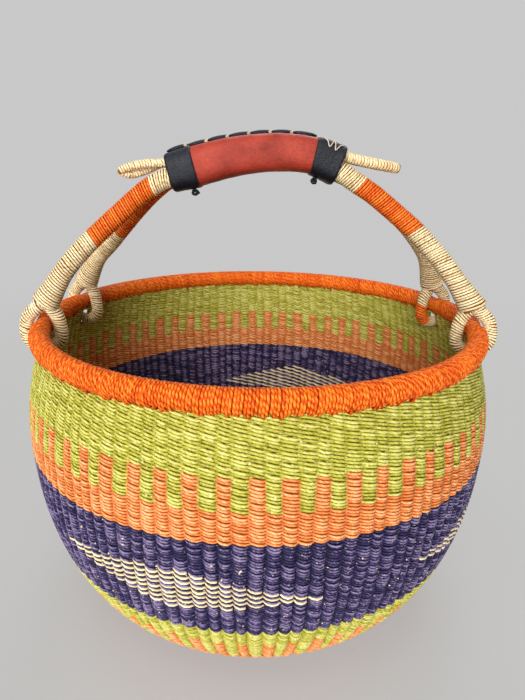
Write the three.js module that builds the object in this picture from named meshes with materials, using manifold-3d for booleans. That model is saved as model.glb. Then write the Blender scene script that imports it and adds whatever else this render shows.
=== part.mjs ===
// A round market basket, twined from grass in bands of colour, with a wrapped rim
// and a two-strand arched handle that ends in a leather grip.
// Millimetres, +Z up. The basket stands on the plane z = 0, centred on the Z axis.
// The handle's feet stand left (-X) and right (+X), and the front of the basket faces -Y.

import * as THREE from 'three';
import { mergeVertices } from 'three/addons/utils/BufferGeometryUtils.js';
import Module from 'manifold-3d';

const wasm = await Module();
wasm.setup();

// Fit between pieces that touch, and the overrun of every cut.
const fit = 0.3;
const overrun = 5;

// The woven wall, measured on its outer face. It starts at the middle of the rim and is
// widest some way below it.
const rimHeight = 254;
const rimRadius = 190;
const wallBulge = 12.9;
const widestDrop = 80;
const baseRadius = 104;
const wallThickness = 7;
const bulgeShare = 0.25;
// The handle draws the mouth in a little on its two sides.
const mouthDrawIn = 3.3;
const bowlPower = 2.16;

// Widths of the colour bands, as shares of the way down the wall.
const upperGreenShare = 0.1244;
const blockShare = 0.0779;
const orangeShare = 0.0796;
const upperNavyShare = 0.0713;
const eyeShare = 0.1426;
const lowerNavyShare = 0.063;
const lowerGreenShare = 0.0697;
const baseBlockShare = 0.0896;

// The rim: a bundle of grass inside a close wrapping of straw.
const rimCoreRadius = 6.6;
const rimWrapThickness = 2.3;

// The handle's strands: grass bundles inside a close wrapping of straw.
const strandCoreRadius = 6.4;
const strandRadius = 9;
const legCoreRadius = 3.6;
const legRadius = 5.6;
const knuckleSwell = 1.5;
const strandSpacing = 18.4;

// The four feet: each is a loop that goes round the rim and through the wall below it.
const frontLeftTurn = 191.5;
const frontRightTurn = -11.5;
const backLeftTurn = 162.5;
const backRightTurn = 17.5;
const loopSlack = 0.2;
const innerSlack = 2.5;
const handleLift = 3;
const forkHeight = 22;
const forkLean = 5.5;
const slotClearance = 0.5;

// The arch, measured from the forks to the middle of the grip.
const archInset = 19;
const archSpan = rimRadius - archInset;
const archRise = 117.5;
const gripLift = 4;

// Lengths of the wrappings, measured up each strand from its fork.
const frontLeftNatural = 62.5;
const frontRightNatural = 75.5;
const backLeftNatural = 70.5;
const backRightNatural = 73.5;
const frontLeftOrange = 66;
const frontRightOrange = 60;
const backLeftOrange = 78;
const backRightOrange = 58;

// The grip's leather.
const leatherThickness = 1.6;
const gripHalfDepth = 20.6;
const cuffHalfDepth = 21.4;
const gripHalfHeight = 15.2;
const leftCuffHalfHeight = 16.2;
const rightCuffHalfHeight = 16;
// Lengths of the red leather and the left cuff, as shares of the grip's.
const redShare = 0.687;
const leftCuffShare = 0.158;
const sleevePower = 5;

// The ears: the two ends of one ring of rope that lies on the strands inside the grip.
const earRadius = 4.1;
const earSpacing = 8.8;
const earRise = 8.8;
const lapSwell = 0.5;

// The lace along the top of the grip, and the thong ends under the cuffs.
const laceCount = 7;
const laceLength = 16;
const laceWidth = 7;
const laceHeight = 1.8;
const thongLength = 6;
const thongWidth = 5;
const thongDrop = 5;
const leftThongShare = 0.7;
const rightThongShare = 0.42;
const threadRadius = 0.8;
const threadCount = 6;
const threadSpread = 6;

// The orange end of the back right foot, as shares of the way round its loop.
const footEndShares = [0.6, 0.78];

// Fineness of the faceted shapes.
const bodySteps = 40;
const rimSteps = 40;
const rimWrapSides = 8;
const tubeSides = 8;
const coreSides = 6;
const bandStep = 17;
const tubeStep = 14;
const loopStep = 8;
const ropeStep = 11;
const ballSides = 8;
const ballRowShare = 0.75;
const sleeveSides = 24;
const curveSteps = 600;

// Materials, from the photograph: colour, roughness and metalness.
function finish(color, roughness) {
  return new THREE.MeshStandardMaterial({ color, roughness, metalness: 0 });
}

const palette = {
  green: finish(0xaab03c, 0.7),
  orange: finish(0xdc7d4b, 0.7),
  rimOrange: finish(0xe15f19, 0.6),
  navy: finish(0x322d55, 0.7),
  natural: finish(0xebd7a0, 0.65),
  grass: finish(0xb79a5e, 0.8),
  redLeather: finish(0xcd5546, 0.5),
  blackLeather: finish(0x1e202d, 0.45),
};

// Booleans and clean closed meshes.
function signedVolume(geometry) {
  const place = geometry.getAttribute('position');
  const index = geometry.getIndex();
  const a = new THREE.Vector3();
  const b = new THREE.Vector3();
  const c = new THREE.Vector3();
  let sum = 0;
  for (let i = 0; i < index.count; i += 3) {
    a.fromBufferAttribute(place, index.getX(i));
    b.fromBufferAttribute(place, index.getX(i + 1));
    c.fromBufferAttribute(place, index.getX(i + 2));
    sum += a.dot(b.cross(c));
  }
  return sum / 6;
}

function solidOf(geometry) {
  const bare = geometry.clone();
  bare.deleteAttribute('normal');
  bare.deleteAttribute('uv');
  const merged = mergeVertices(bare);
  const triVerts = new Uint32Array(merged.getIndex().array);
  if (signedVolume(merged) < 0) {
    triVerts.reverse();
  }
  const vertProperties = new Float32Array(merged.getAttribute('position').array);
  return new wasm.Manifold(new wasm.Mesh({ numProp: 3, vertProperties, triVerts }));
}

function geometryOf(solid) {
  const mesh = solid.getMesh();
  const geometry = new THREE.BufferGeometry();
  geometry.setAttribute('position', new THREE.BufferAttribute(mesh.vertProperties, 3));
  geometry.setIndex(new THREE.BufferAttribute(mesh.triVerts, 1));
  geometry.computeVertexNormals();
  return geometry;
}

function joined(solids) {
  return solids.slice(1).reduce((sum, next) => sum.add(next), solids[0]);
}

// A cut can leave crumbs beside the body, so the body is the largest of what is left.
function bodyOf(solid) {
  return solid.decompose().sort((one, other) => other.volume() - one.volume())[0];
}

const basket = new THREE.Group();
const handle = new THREE.Group();

function addPiece(group, name, solid, material) {
  const mesh = new THREE.Mesh(geometryOf(bodyOf(solid)), material);
  mesh.name = name;
  group.add(mesh);
}

const widestRadius = rimRadius + wallBulge;
const widestHeight = rimHeight - widestDrop;
const rimWrapRadius = rimCoreRadius + fit + rimWrapThickness;

// Draws a solid in towards x = 0: not at all at the widest part, fully from the rim's underside up.
function drawnIn(solid) {
  const fullHeight = rimHeight - rimWrapRadius;
  return solid.warp((point) => {
    const up = THREE.MathUtils.clamp((point[2] - widestHeight) / (fullHeight - widestHeight), 0, 1);
    point[0] *= 1 - (mouthDrawIn / rimRadius) * up ** 2;
  });
}

// The wall's outer face as a curve of radius and height, from the rim's middle down to
// the flat of the base: a slow bulge, then a superellipse bowl.
class WallCurve extends THREE.Curve {
  constructor() {
    super();
    this.arcLengthDivisions = curveSteps;
  }

  getPoint(t, target = new THREE.Vector2()) {
    if (t < bulgeShare) {
      const down = t / bulgeShare;
      const bulge = Math.sin((down * Math.PI) / 2);
      return target.set(rimRadius + wallBulge * bulge, rimHeight - widestDrop * down);
    }
    const turn = ((t - bulgeShare) / (1 - bulgeShare)) * (Math.PI / 2);
    const power = 2 / bowlPower;
    return target.set(
      baseRadius + (widestRadius - baseRadius) * Math.max(0, Math.cos(turn)) ** power,
      widestHeight * (1 - Math.sin(turn) ** power),
    );
  }
}

const wall = new WallCurve();
const wallLength = wall.getLength();

// Outer and inner points of the wall at a distance down from the rim's middle.
function wallAt(down) {
  const share = Math.min(1, down / wallLength);
  const outside = wall.getPointAt(share);
  const along = wall.getTangentAt(share);
  const inside = new THREE.Vector2(along.y, -along.x).multiplyScalar(wallThickness).add(outside);
  return { outside, inside };
}

function latheSolid(outline, steps) {
  const geometry = new THREE.LatheGeometry(outline, steps);
  geometry.rotateX(Math.PI / 2);
  return solidOf(geometry);
}

function bandSolid(start, end) {
  const steps = Math.max(1, Math.round((end - start) / bandStep));
  const outer = [];
  const inner = [];
  for (let i = 0; i <= steps; i += 1) {
    const { outside, inside } = wallAt(start + ((end - start) * i) / steps);
    outer.push(outside);
    inner.unshift(inside);
  }
  return latheSolid([...outer, ...inner, outer[0].clone()], bodySteps);
}

// Feet: places and turns of the four loops on the rim.
const outerReach = rimWrapRadius + legRadius + loopSlack;
const innerReach = outerReach + innerSlack;
const loopDrop = rimWrapRadius + legRadius + handleLift + slotClearance;
const feet = {
  frontLeft: THREE.MathUtils.degToRad(frontLeftTurn),
  frontRight: THREE.MathUtils.degToRad(frontRightTurn),
  backLeft: THREE.MathUtils.degToRad(backLeftTurn),
  backRight: THREE.MathUtils.degToRad(backRightTurn),
};

// A point beside the rim, outwards and up from the rim's middle at one foot.
function besideRim(turn, outwards, up) {
  const reach = rimRadius + outwards;
  const x = (reach - mouthDrawIn) * Math.cos(turn);
  return new THREE.Vector3(x, reach * Math.sin(turn), rimHeight + up);
}

// Where the wall's top tucks into the wrapping of the rim.
const wallTopDown = Array.from({ length: curveSteps }, (_, i) => (wallLength * i) / curveSteps)
  .find((down) => wallAt(down).outside.y < rimHeight - rimCoreRadius - fit);

// Slots for the loops, cut through the top of the wall.
function footSlot(turn) {
  const legRoom = legRadius + lapSwell + slotClearance;
  const width = 2 * legRoom;
  const bottom = loopDrop + legRoom;
  const height = bottom + overrun;
  const depth = 2 * (wallThickness + overrun);
  const box = new THREE.BoxGeometry(depth, width, height);
  box.translate(0, 0, height / 2 - bottom);
  box.rotateZ(turn);
  const { x, y } = besideRim(turn, 0, 0);
  box.translate(x, y, rimHeight);
  return solidOf(box);
}

// The colour bands, from the rim down.
const bands = [
  ['upper_green_band', upperGreenShare, palette.green],
  ['green_and_orange_block_band', blockShare, palette.orange],
  ['orange_band', orangeShare, palette.orange],
  ['upper_navy_band', upperNavyShare, palette.navy],
  ['natural_eye_band', eyeShare, palette.navy],
  ['lower_navy_band', lowerNavyShare, palette.navy],
  ['lower_green_band', lowerGreenShare, palette.green],
  ['base_block_band', baseBlockShare, palette.orange],
];

let bandTop = wallTopDown;
for (const [name, share, material] of bands) {
  const width = share * wallLength;
  let band = drawnIn(bandSolid(bandTop, bandTop + width - fit));
  if (name === 'upper_green_band') {
    band = Object.values(feet).reduce((rest, turn) => rest.subtract(footSlot(turn)), band);
  }
  addPiece(basket, name, band, material);
  bandTop += width;
}
addPiece(basket, 'base_ring', bandSolid(bandTop, wallLength), palette.orange);

// The flat middle of the base.
addPiece(basket, 'base_centre', latheSolid([
  new THREE.Vector2(0, 0),
  new THREE.Vector2(baseRadius - fit, 0),
  new THREE.Vector2(baseRadius - fit, wallThickness),
  new THREE.Vector2(0, wallThickness),
], bodySteps), palette.green);

// The rim's core and its wrapping, which is open below where the wall comes in.
const rimCore = new THREE.TorusGeometry(rimRadius, rimCoreRadius, coreSides, rimSteps);
rimCore.translate(0, 0, rimHeight);
addPiece(basket, 'rim_core', drawnIn(solidOf(rimCore)), palette.grass);

function rimWrapSolid() {
  const holeRadius = (rimCoreRadius + fit) / Math.cos(Math.PI / tubeSides);
  const outerLip = wallAt(wallTopDown + rimWrapThickness).outside.x + fit - rimRadius;
  const innerLip = wallAt(wallTopDown).inside.x - fit - rimRadius;
  const arc = (radius) => {
    const from = -Math.acos(outerLip / radius);
    const to = 2 * Math.PI - Math.acos(innerLip / radius);
    return Array.from({ length: rimWrapSides + 1 }, (_, i) => {
      const turn = from + ((to - from) * i) / rimWrapSides;
      return new THREE.Vector2(rimRadius + radius * Math.cos(turn), rimHeight + radius * Math.sin(turn));
    });
  };
  const outline = [...arc(rimWrapRadius), ...arc(holeRadius).reverse()];
  return latheSolid([...outline, outline[0].clone()], rimSteps);
}

addPiece(basket, 'rim_wrapping', drawnIn(rimWrapSolid()), palette.rimOrange);

// Tubes along curves.
function ring(radius, sides) {
  return Array.from({ length: sides }, (_, i) => {
    const turn = (2 * Math.PI * i) / sides;
    return new THREE.Vector2(radius * Math.cos(turn), radius * Math.sin(turn));
  });
}

function round(radius, sides = tubeSides) {
  return new THREE.Shape(ring(radius, sides));
}

function sleeveRing(radius, holeRadius) {
  const shape = new THREE.Shape(ring(radius, tubeSides));
  shape.holes.push(new THREE.Path(ring(holeRadius, coreSides)));
  return shape;
}

class Stretch extends THREE.Curve {
  constructor(whole, from, to) {
    super();
    this.whole = whole;
    this.from = from;
    this.to = to;
  }

  getPoint(t, target = new THREE.Vector3()) {
    return this.whole.getPointAt(this.from + (this.to - this.from) * t, target);
  }
}

function tubeSolid(curve, shape, from = 0, to = 1, step = tubeStep) {
  const steps = Math.max(2, Math.round(((to - from) * curve.getLength()) / step));
  const path = new Stretch(curve, from, to);
  return solidOf(new THREE.ExtrudeGeometry(shape, { steps, extrudePath: path }));
}

// The loop of one foot: out over the rim, down, under it through the wall, and up inside.
// Its two halves lap below the rim, where the second swells over the end of the first.
function footLoop(turn) {
  const outwardShares = [[0.05, 1.15], [0.5, 0.96], [0.86, 0.64], [1, 0.19], [1, -0.38]];
  const underShares = [[0.7, -0.8], [0.13, -1]];
  const inwardUnderShares = [[-0.41, -0.97], [-0.85, -0.69], [-1, -0.17]];
  const inwardShares = [[-0.9, 0.4], [-0.65, 0.85]];
  const points = [
    besideRim(turn, -forkLean, forkHeight),
    ...outwardShares.map(([out, up]) => besideRim(turn, out * outerReach, up * outerReach)),
    ...underShares.map(([out, up]) => besideRim(turn, out * outerReach, up * loopDrop)),
    ...inwardUnderShares.map(([out, up]) => besideRim(turn, out * innerReach, up * loopDrop)),
    ...inwardShares.map(([out, up]) => besideRim(turn, out * innerReach, up * innerReach)),
    besideRim(turn, -forkLean, forkHeight),
  ];
  return new THREE.CatmullRomCurve3(points);
}

// The arch. Every place is a share of the span, of the way from the grip out to the
// foot, and of the rise.
const gripMiddleHeight = rimHeight + forkHeight + archRise;
const gripShares = [[-0.32, -0.091], [-0.175, -0.035], [-0.03, 0], [0.117, 0.011], [0.26, -0.011]];
const leftFrontShares = [[-0.94, 0.87, 0.213], [-0.88, 0.7, 0.319], [-0.81, 0.48, 0.424],
  [-0.675, 0.2, 0.603], [-0.55, 0.05, 0.755], [-0.46, 0.01, 0.826]];
const rightFrontShares = [[0.385, 0.01, 0.887], [0.455, 0.03, 0.82], [0.55, 0.08, 0.736],
  [0.68, 0.17, 0.59], [0.765, 0.3, 0.488], [0.85, 0.5, 0.36], [0.92, 0.72, 0.24]];
const leftBackShares = [[-0.92, 0.86, 0.204], [-0.83, 0.64, 0.327], [-0.75, 0.44, 0.447],
  [-0.655, 0.27, 0.59], [-0.555, 0.09, 0.723], [-0.455, 0.01, 0.827]];
const rightBackShares = [[0.37, 0.01, 0.892], [0.465, 0.06, 0.834], [0.555, 0.17, 0.755],
  [0.645, 0.28, 0.662], [0.76, 0.43, 0.538], [0.86, 0.63, 0.397], [0.945, 0.82, 0.24]];

function archPoint(side, foot, [across, spread, up]) {
  const rest = side * (strandSpacing / 2);
  return new THREE.Vector3(across * archSpan, rest + (foot.y - rest) * spread, foot.z + up * archRise);
}

function archCurve(side, leftTurn, rightTurn, leftShares, rightShares) {
  const leftFoot = besideRim(leftTurn, -forkLean, forkHeight);
  const rightFoot = besideRim(rightTurn, -forkLean, forkHeight);
  const middle = gripShares.map(([across, up]) => new THREE.Vector3(
    across * archSpan,
    side * (strandSpacing / 2),
    gripMiddleHeight - gripLift + up * archRise,
  ));
  return new THREE.CatmullRomCurve3([
    leftFoot,
    ...leftShares.map((shares) => archPoint(side, leftFoot, shares)),
    ...middle,
    ...rightShares.map((shares) => archPoint(side, rightFoot, shares)),
    rightFoot,
  ]);
}

const lapShares = [0.54, 0.6];
function legSolid(loop, radius, sides) {
  const start = lapShares[0] - (radius - legCoreRadius) / loop.getLength();
  return tubeSolid(loop, round(radius, sides), 0, lapShares[1], loopStep)
    .add(tubeSolid(loop, round(radius + lapSwell, sides), start, 1, loopStep));
}

// The knuckle where a strand and the two legs of its loop come together.
function knuckle(turn, radius) {
  const ball = new THREE.SphereGeometry(radius, ballSides, ballSides * ballRowShare);
  const { x, y, z } = besideRim(turn, -forkLean, forkHeight);
  ball.rotateZ(turn);
  return solidOf(ball.translate(x, y, z));
}

const coreHole = (strandCoreRadius + fit) / Math.cos(Math.PI / coreSides);
const legHole = (legCoreRadius + fit) / Math.cos(Math.PI / coreSides);

// One strand: its core with both loops, and its wrappings in the order of their colours.
function addStrand(place, side, left, right, leftShares, rightShares) {
  const curve = archCurve(side, left.turn, right.turn, leftShares, rightShares);
  const length = curve.getLength();
  const loops = [footLoop(left.turn), footLoop(right.turn)];
  const branched = (strandSize, legSize) => joined([
    tubeSolid(curve, round(strandSize, coreSides)),
    ...loops.map((loop) => legSolid(loop, legSize, coreSides)),
    knuckle(left.turn, strandSize + knuckleSwell),
    knuckle(right.turn, strandSize + knuckleSwell),
  ]);
  const core = branched(strandCoreRadius, legCoreRadius);
  addPiece(handle, `${place}_strand_core`, core, palette.grass);

  const room = branched(coreHole, legHole);
  const stations = Math.round(length / tubeStep);
  const station = (distance) => Math.round((stations * distance) / length) / stations;
  const leftShare = station(left.natural);
  const leftTop = station(left.natural + left.orange);
  const rightShare = 1 - station(right.natural);
  const rightTop = 1 - station(right.natural + right.orange);
  const gap = fit / length;
  const legs = loops.map((loop, i) => legSolid(loop, legRadius)
    .add(knuckle([left.turn, right.turn][i], strandRadius + knuckleSwell)));
  const foot = (leg, from, to) => tubeSolid(curve, round(strandRadius), from, to).add(leg).subtract(room);
  addPiece(handle, `${place}_left_foot_wrapping`, foot(legs[0], 0, leftShare), palette.natural);
  let rightFoot = foot(legs[1], rightShare, 1);
  if (right.orangeEnd) {
    const [start, end] = footEndShares;
    const space = fit / loops[1].getLength();
    const stretch = (from, to) => tubeSolid(loops[1], round(strandRadius), from, to, loopStep);
    addPiece(handle, `${place}_right_foot_end_wrapping`,
      legs[1].subtract(room).intersect(stretch(start, end)), palette.rimOrange);
    rightFoot = rightFoot.subtract(stretch(start - space, end + space));
  }
  addPiece(handle, `${place}_right_foot_wrapping`, rightFoot, palette.natural);

  const sleeve = sleeveRing(strandRadius, coreHole);
  addPiece(handle, `${place}_left_orange_wrapping`,
    tubeSolid(curve, sleeve, leftShare + gap, leftTop), palette.rimOrange);
  addPiece(handle, `${place}_right_orange_wrapping`,
    tubeSolid(curve, sleeve, rightTop, rightShare - gap), palette.rimOrange);
  addPiece(handle, `${place}_top_wrapping`,
    tubeSolid(curve, sleeve, leftTop + gap, rightTop - gap), palette.natural);
}

addStrand(
  'front',
  -1,
  { turn: feet.frontLeft, natural: frontLeftNatural, orange: frontLeftOrange },
  { turn: feet.frontRight, natural: frontRightNatural, orange: frontRightOrange },
  leftFrontShares,
  rightFrontShares,
);
addStrand(
  'back',
  1,
  { turn: feet.backLeft, natural: backLeftNatural, orange: backLeftOrange },
  { turn: feet.backRight, natural: backRightNatural, orange: backRightOrange, orangeEnd: true },
  leftBackShares,
  rightBackShares,
);

// The grip's leather, along a line just above the strands.
const gripEndShares = { left: [-0.4415, -0.136], right: [0.379, -0.077] };
function gripPoint([across, up], lift = 0, sideways = 0) {
  return new THREE.Vector3(across * archSpan, sideways, gripMiddleHeight + up * archRise + lift);
}
const gripCurve = new THREE.CatmullRomCurve3(
  [gripEndShares.left, ...gripShares, gripEndShares.right].map((shares) => gripPoint(shares)),
);

function sleeveSection(halfDepth, halfHeight) {
  const bent = (value) => Math.sign(value) * Math.abs(value) ** (2 / sleevePower);
  return new THREE.Shape(Array.from({ length: sleeveSides }, (_, i) => {
    const turn = (2 * Math.PI * (i + 0.5)) / sleeveSides;
    return new THREE.Vector2(halfDepth * bent(Math.cos(turn)), halfHeight * bent(Math.sin(turn)));
  }));
}

function leatherSleeve(halfDepth, halfHeight, from, to) {
  const outside = sleeveSection(halfDepth, halfHeight);
  const inside = sleeveSection(halfDepth - leatherThickness, halfHeight - leatherThickness);
  return tubeSolid(gripCurve, outside, from, to).subtract(tubeSolid(gripCurve, inside));
}

const gripLength = gripCurve.getLength();
const leftSeam = leftCuffShare;
const rightSeam = leftCuffShare + redShare;
const seamGap = fit / gripLength;
addPiece(handle, 'left_leather_cuff',
  leatherSleeve(cuffHalfDepth, leftCuffHalfHeight, seamGap, leftSeam - seamGap), palette.blackLeather);
addPiece(handle, 'red_leather_grip',
  leatherSleeve(gripHalfDepth, gripHalfHeight, leftSeam, rightSeam - seamGap), palette.redLeather);
addPiece(handle, 'right_leather_cuff',
  leatherSleeve(cuffHalfDepth, rightCuffHalfHeight, rightSeam, 1 - seamGap), palette.blackLeather);

// A point off the grip's line: up across its slope, and sideways.
function gripOver(share, up, sideways) {
  const along = gripCurve.getTangentAt(share);
  const over = new THREE.Vector3(-along.z, 0, along.x).multiplyScalar(up);
  return gripCurve.getPointAt(share).add(over).setY(sideways);
}

// The ear rope: two hairpins that lap inside the grip. The left one hangs upright, and
// the right one lies flat.
const leftInsideShares = [0.53, 0.36, 0.18, 0];
const leftEarShares = [[-0.57, -0.162, -0.45], [-0.65, -0.189, -0.2], [-0.68, -0.236, 0.1],
  [-0.64, -0.268, 0.35], [-0.57, -0.23, 0.45], [-0.5, -0.168, 0.47]];
const rightInsideShares = [0.47, 0.64, 0.82, 1];
const rightEarShares = [[0.505, -0.117, -0.68], [0.61, -0.144, -0.62], [0.664, -0.157, 0],
  [0.61, -0.144, 0.62], [0.505, -0.117, 0.68]];
function hairpin(insideShares, earShares, radius) {
  const inside = (side) => insideShares.map((share) => gripOver(share, earRise, side * earSpacing));
  const curve = new THREE.CatmullRomCurve3([
    ...inside(-0.5),
    ...earShares.map(([across, up, side]) => gripPoint([across, up], earRise, side * earSpacing)),
    ...inside(0.5).reverse(),
  ]);
  return tubeSolid(curve, round(radius), 0, 1, ropeStep);
}
addPiece(handle, 'ear_rope', hairpin(leftInsideShares, leftEarShares, earRadius).add(
  hairpin(rightInsideShares, rightEarShares, earRadius - lapSwell),
), palette.natural);

// Stands a shape on the grip's line, turned to follow its slope.
function onGrip(geometry, share) {
  const { x, y, z } = gripCurve.getPointAt(share);
  const along = gripCurve.getTangentAt(share);
  geometry.rotateY(Math.atan2(-along.z, along.x));
  return solidOf(geometry.translate(x, y, z));
}

// The lace: pointed stitches that lap end to end along the top of the leather.
const laceMargin = (laceLength / 2 + fit) / gripLength;
const laceRun = rightSeam - leftSeam - 2 * laceMargin;
addPiece(handle, 'grip_lace', joined(Array.from({ length: laceCount }, (_, i) => {
  const stitch = new THREE.SphereGeometry(laceLength / 2, ballSides, ballSides / 2);
  stitch.rotateZ(Math.PI / 2);
  stitch.scale(1, laceWidth / laceLength, laceHeight / laceLength);
  stitch.translate(0, 0, gripHalfHeight + fit + laceHeight / 2);
  return onGrip(stitch, leftSeam + laceMargin + (laceRun * i) / (laceCount - 1));
})), palette.blackLeather);

// The thong ends that hang under the cuffs.
function thongSolid(share, halfHeight) {
  const tab = new THREE.BoxGeometry(thongLength, thongWidth, thongDrop);
  tab.translate(0, -cuffHalfDepth / 2, -halfHeight - 2 * fit - thongDrop / 2);
  return onGrip(tab, share);
}
const leftThongPlace = leftSeam * leftThongShare;
const rightThongPlace = rightSeam + (1 - rightSeam) * rightThongShare;
addPiece(handle, 'left_thong', thongSolid(leftThongPlace, leftCuffHalfHeight), palette.blackLeather);
addPiece(handle, 'right_thong', thongSolid(rightThongPlace, rightCuffHalfHeight), palette.blackLeather);

// The thread sewn to and fro over the right cuff.
const thread = new THREE.CatmullRomCurve3(Array.from({ length: threadCount }, (_, i) => {
  const share = rightSeam + ((1 - rightSeam) * (i + 1)) / (threadCount + 1);
  const sideways = (i % 2 ? -1 : 1) * threadSpread - laceWidth;
  return gripOver(share, rightCuffHalfHeight + fit + threadRadius, sideways / 2);
}));
addPiece(handle, 'right_cuff_thread', tubeSolid(thread, round(threadRadius), 0, 1, threadSpread / 2),
  palette.natural);

export default new THREE.Group().add(basket, handle);
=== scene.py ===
# %% [markdown]
# # A twined market basket
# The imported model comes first. It is a fixed frame of plain solids: rings for the woven wall,
# sleeves for the wrappings, and the leather of the grip. This lesson dresses each of them with
# the piece that the real basket shows, and leaves the frame itself where it is.

import math

import bpy
from mathutils import Matrix, Vector


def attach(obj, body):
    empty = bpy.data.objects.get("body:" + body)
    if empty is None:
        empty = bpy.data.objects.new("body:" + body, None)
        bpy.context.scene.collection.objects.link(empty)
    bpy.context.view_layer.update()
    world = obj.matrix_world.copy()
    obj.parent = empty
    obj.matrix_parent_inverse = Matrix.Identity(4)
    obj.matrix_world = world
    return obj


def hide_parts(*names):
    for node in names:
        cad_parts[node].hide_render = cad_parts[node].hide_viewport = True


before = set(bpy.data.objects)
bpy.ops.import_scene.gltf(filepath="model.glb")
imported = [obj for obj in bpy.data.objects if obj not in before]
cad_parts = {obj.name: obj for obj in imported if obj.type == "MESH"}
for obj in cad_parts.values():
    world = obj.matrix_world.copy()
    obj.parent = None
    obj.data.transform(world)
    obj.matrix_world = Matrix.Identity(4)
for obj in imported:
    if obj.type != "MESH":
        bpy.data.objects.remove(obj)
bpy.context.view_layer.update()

# %% [markdown]
# ## Sizes
# Blender works in metres here, and a basket is easier to think about in millimetres, so one
# helper turns one into the other. The sizes are those of the frame: the wall runs from the
# middle of the rim out to its widest part and then in to a flat base, and four loops of the
# handle hold the rim.


# %% Sizes of the basket
def mm(value):
    """A length in millimetres, as metres."""
    return value / 1000


RIM_HEIGHT = mm(254)
RIM_RADIUS = mm(190)
WALL_BULGE = mm(12.9)
WIDEST_DROP = mm(80)
BASE_RADIUS = mm(104)
BOWL_POWER = 2.16
BULGE_SHARE = 0.25
MOUTH_DRAW_IN = mm(3.3)
RIM_THICKNESS = mm(9.2)
PROFILE_STEPS = 160
FLAT_STEPS = 12
FEET = {"front_left": 191.5, "front_right": -11.5, "back_left": 162.5, "back_right": 17.5}


def wall_point(share):
    """Radius and height of the wall's outer face, from the rim (0) to the flat base (1)."""
    widest, height = RIM_RADIUS + WALL_BULGE, RIM_HEIGHT - WIDEST_DROP
    if share < BULGE_SHARE:
        down = share / BULGE_SHARE
        return RIM_RADIUS + WALL_BULGE * math.sin(down * math.pi / 2), RIM_HEIGHT - WIDEST_DROP * down
    turn = (share - BULGE_SHARE) / (1 - BULGE_SHARE) * math.pi / 2
    power = 2 / BOWL_POWER
    radius = BASE_RADIUS + (widest - BASE_RADIUS) * max(0, math.cos(turn)) ** power
    return radius, height * (1 - math.sin(turn) ** power)


def beside_rim(degrees, outwards, up):
    """A point beside the rim: outwards and up, in millimetres, from the rim's middle."""
    turn = math.radians(degrees)
    reach = RIM_RADIUS + mm(outwards)
    return Vector(((reach - MOUTH_DRAW_IN) * math.cos(turn), reach * math.sin(turn), RIM_HEIGHT + mm(up)))


profile_points = [wall_point(i / PROFILE_STEPS) for i in range(PROFILE_STEPS + 1)]
wall_length = sum(math.dist(a, b) for a, b in zip(profile_points, profile_points[1:]))
profile_points += [(BASE_RADIUS * (1 - i / FLAT_STEPS), 0) for i in range(1, FLAT_STEPS + 1)]
print("wall, down its face:", round(wall_length * 1000, 1), "mm")

# %% [markdown]
# ## Building node trees
# Geometry Nodes and materials are both trees of nodes. Written out one call at a time they are
# long, so two helpers shorten them. One adds a node and fills its sockets by name. The other, a
# Field, is a socket that takes the usual signs: each sign in a sum of fields becomes one Math
# or Vector Math node, and the sum still reads like a sum.


# %% Fields: sockets that take the usual signs
def socket_of(sockets, key):
    """The socket with this name or place that is in use, because some nodes hold spares."""
    if isinstance(key, int):
        return [s for s in sockets if s.enabled][key]
    return next(s for s in sockets if s.enabled and s.name == key)


class Field:
    """A socket of a node tree that can be added, multiplied and compared like a number."""

    def __init__(self, socket):
        self.socket = socket
        self.tree = socket.id_data
        self.is_vector = socket.type == "VECTOR"

    def __getitem__(self, key):
        """Another output of the same node, by its name."""
        return Field(socket_of(self.socket.node.outputs, key))

    def __add__(self, other):
        return calc("ADD", self, other)

    def __sub__(self, other):
        return calc("SUBTRACT", self, other)

    def __rsub__(self, other):
        return calc("SUBTRACT", other, self)

    def __mul__(self, other):
        if self.is_vector:
            return add(self.tree, "ShaderNodeVectorMath", {0: self, "Scale": other}, operation="SCALE")
        return calc("MULTIPLY", self, other)

    def __truediv__(self, other):
        return calc("DIVIDE", self, other)

    def __rtruediv__(self, other):
        return calc("DIVIDE", other, self)

    def __pow__(self, other):
        return calc("POWER", self, other)

    def __neg__(self):
        return calc("MULTIPLY", self, -1)

    def __abs__(self):
        return calc("ABSOLUTE", self)

    def __gt__(self, other):
        return calc("GREATER_THAN", self, other)

    def __lt__(self, other):
        return calc("LESS_THAN", self, other)


def add(tree, kind, inputs=None, out=0, **settings):
    """Adds a node, sets it up, fills its sockets and gives one of its outputs as a field."""
    node = tree.nodes.new(kind)
    for name, value in settings.items():
        setattr(node, name, value)
    for key, value in (inputs or {}).items():
        target = socket_of(node.inputs, key)
        if isinstance(value, Field):
            tree.links.new(value.socket, target)
        else:
            target.default_value = value
    return Field(socket_of(node.outputs, out)) if node.outputs else None


def calc(operation, *values):
    """One Math node, or one Vector Math node where a value is a vector."""
    fields = [value for value in values if isinstance(value, Field)]
    kind = "ShaderNodeVectorMath" if any(field.is_vector for field in fields) else "ShaderNodeMath"
    return add(fields[0].tree, kind, dict(enumerate(values)), operation=operation)


# %% [markdown]
# A few sums come back in every tree, so each gets a plain name: limits, noise round zero, the
# three parts of a vector. A random number always belongs to a whole number and a seed, and so
# it is the same in each run.


# %% Sums with a name
def at_least(value, low):
    return calc("MAXIMUM", value, low)


def at_most(value, high):
    return calc("MINIMUM", value, high)


def clamped(value):
    """A value kept between 0 and 1."""
    return at_most(at_least(value, 0), 1)


def sine(value):
    return calc("SINE", value)


def cosine(value):
    return calc("COSINE", value)


def counted(index, size):
    """Which group of this size a whole number falls in, and its place in that group."""
    group = calc("FLOOR", (index + 0.5) / size)
    return group, index - group * size


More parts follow.
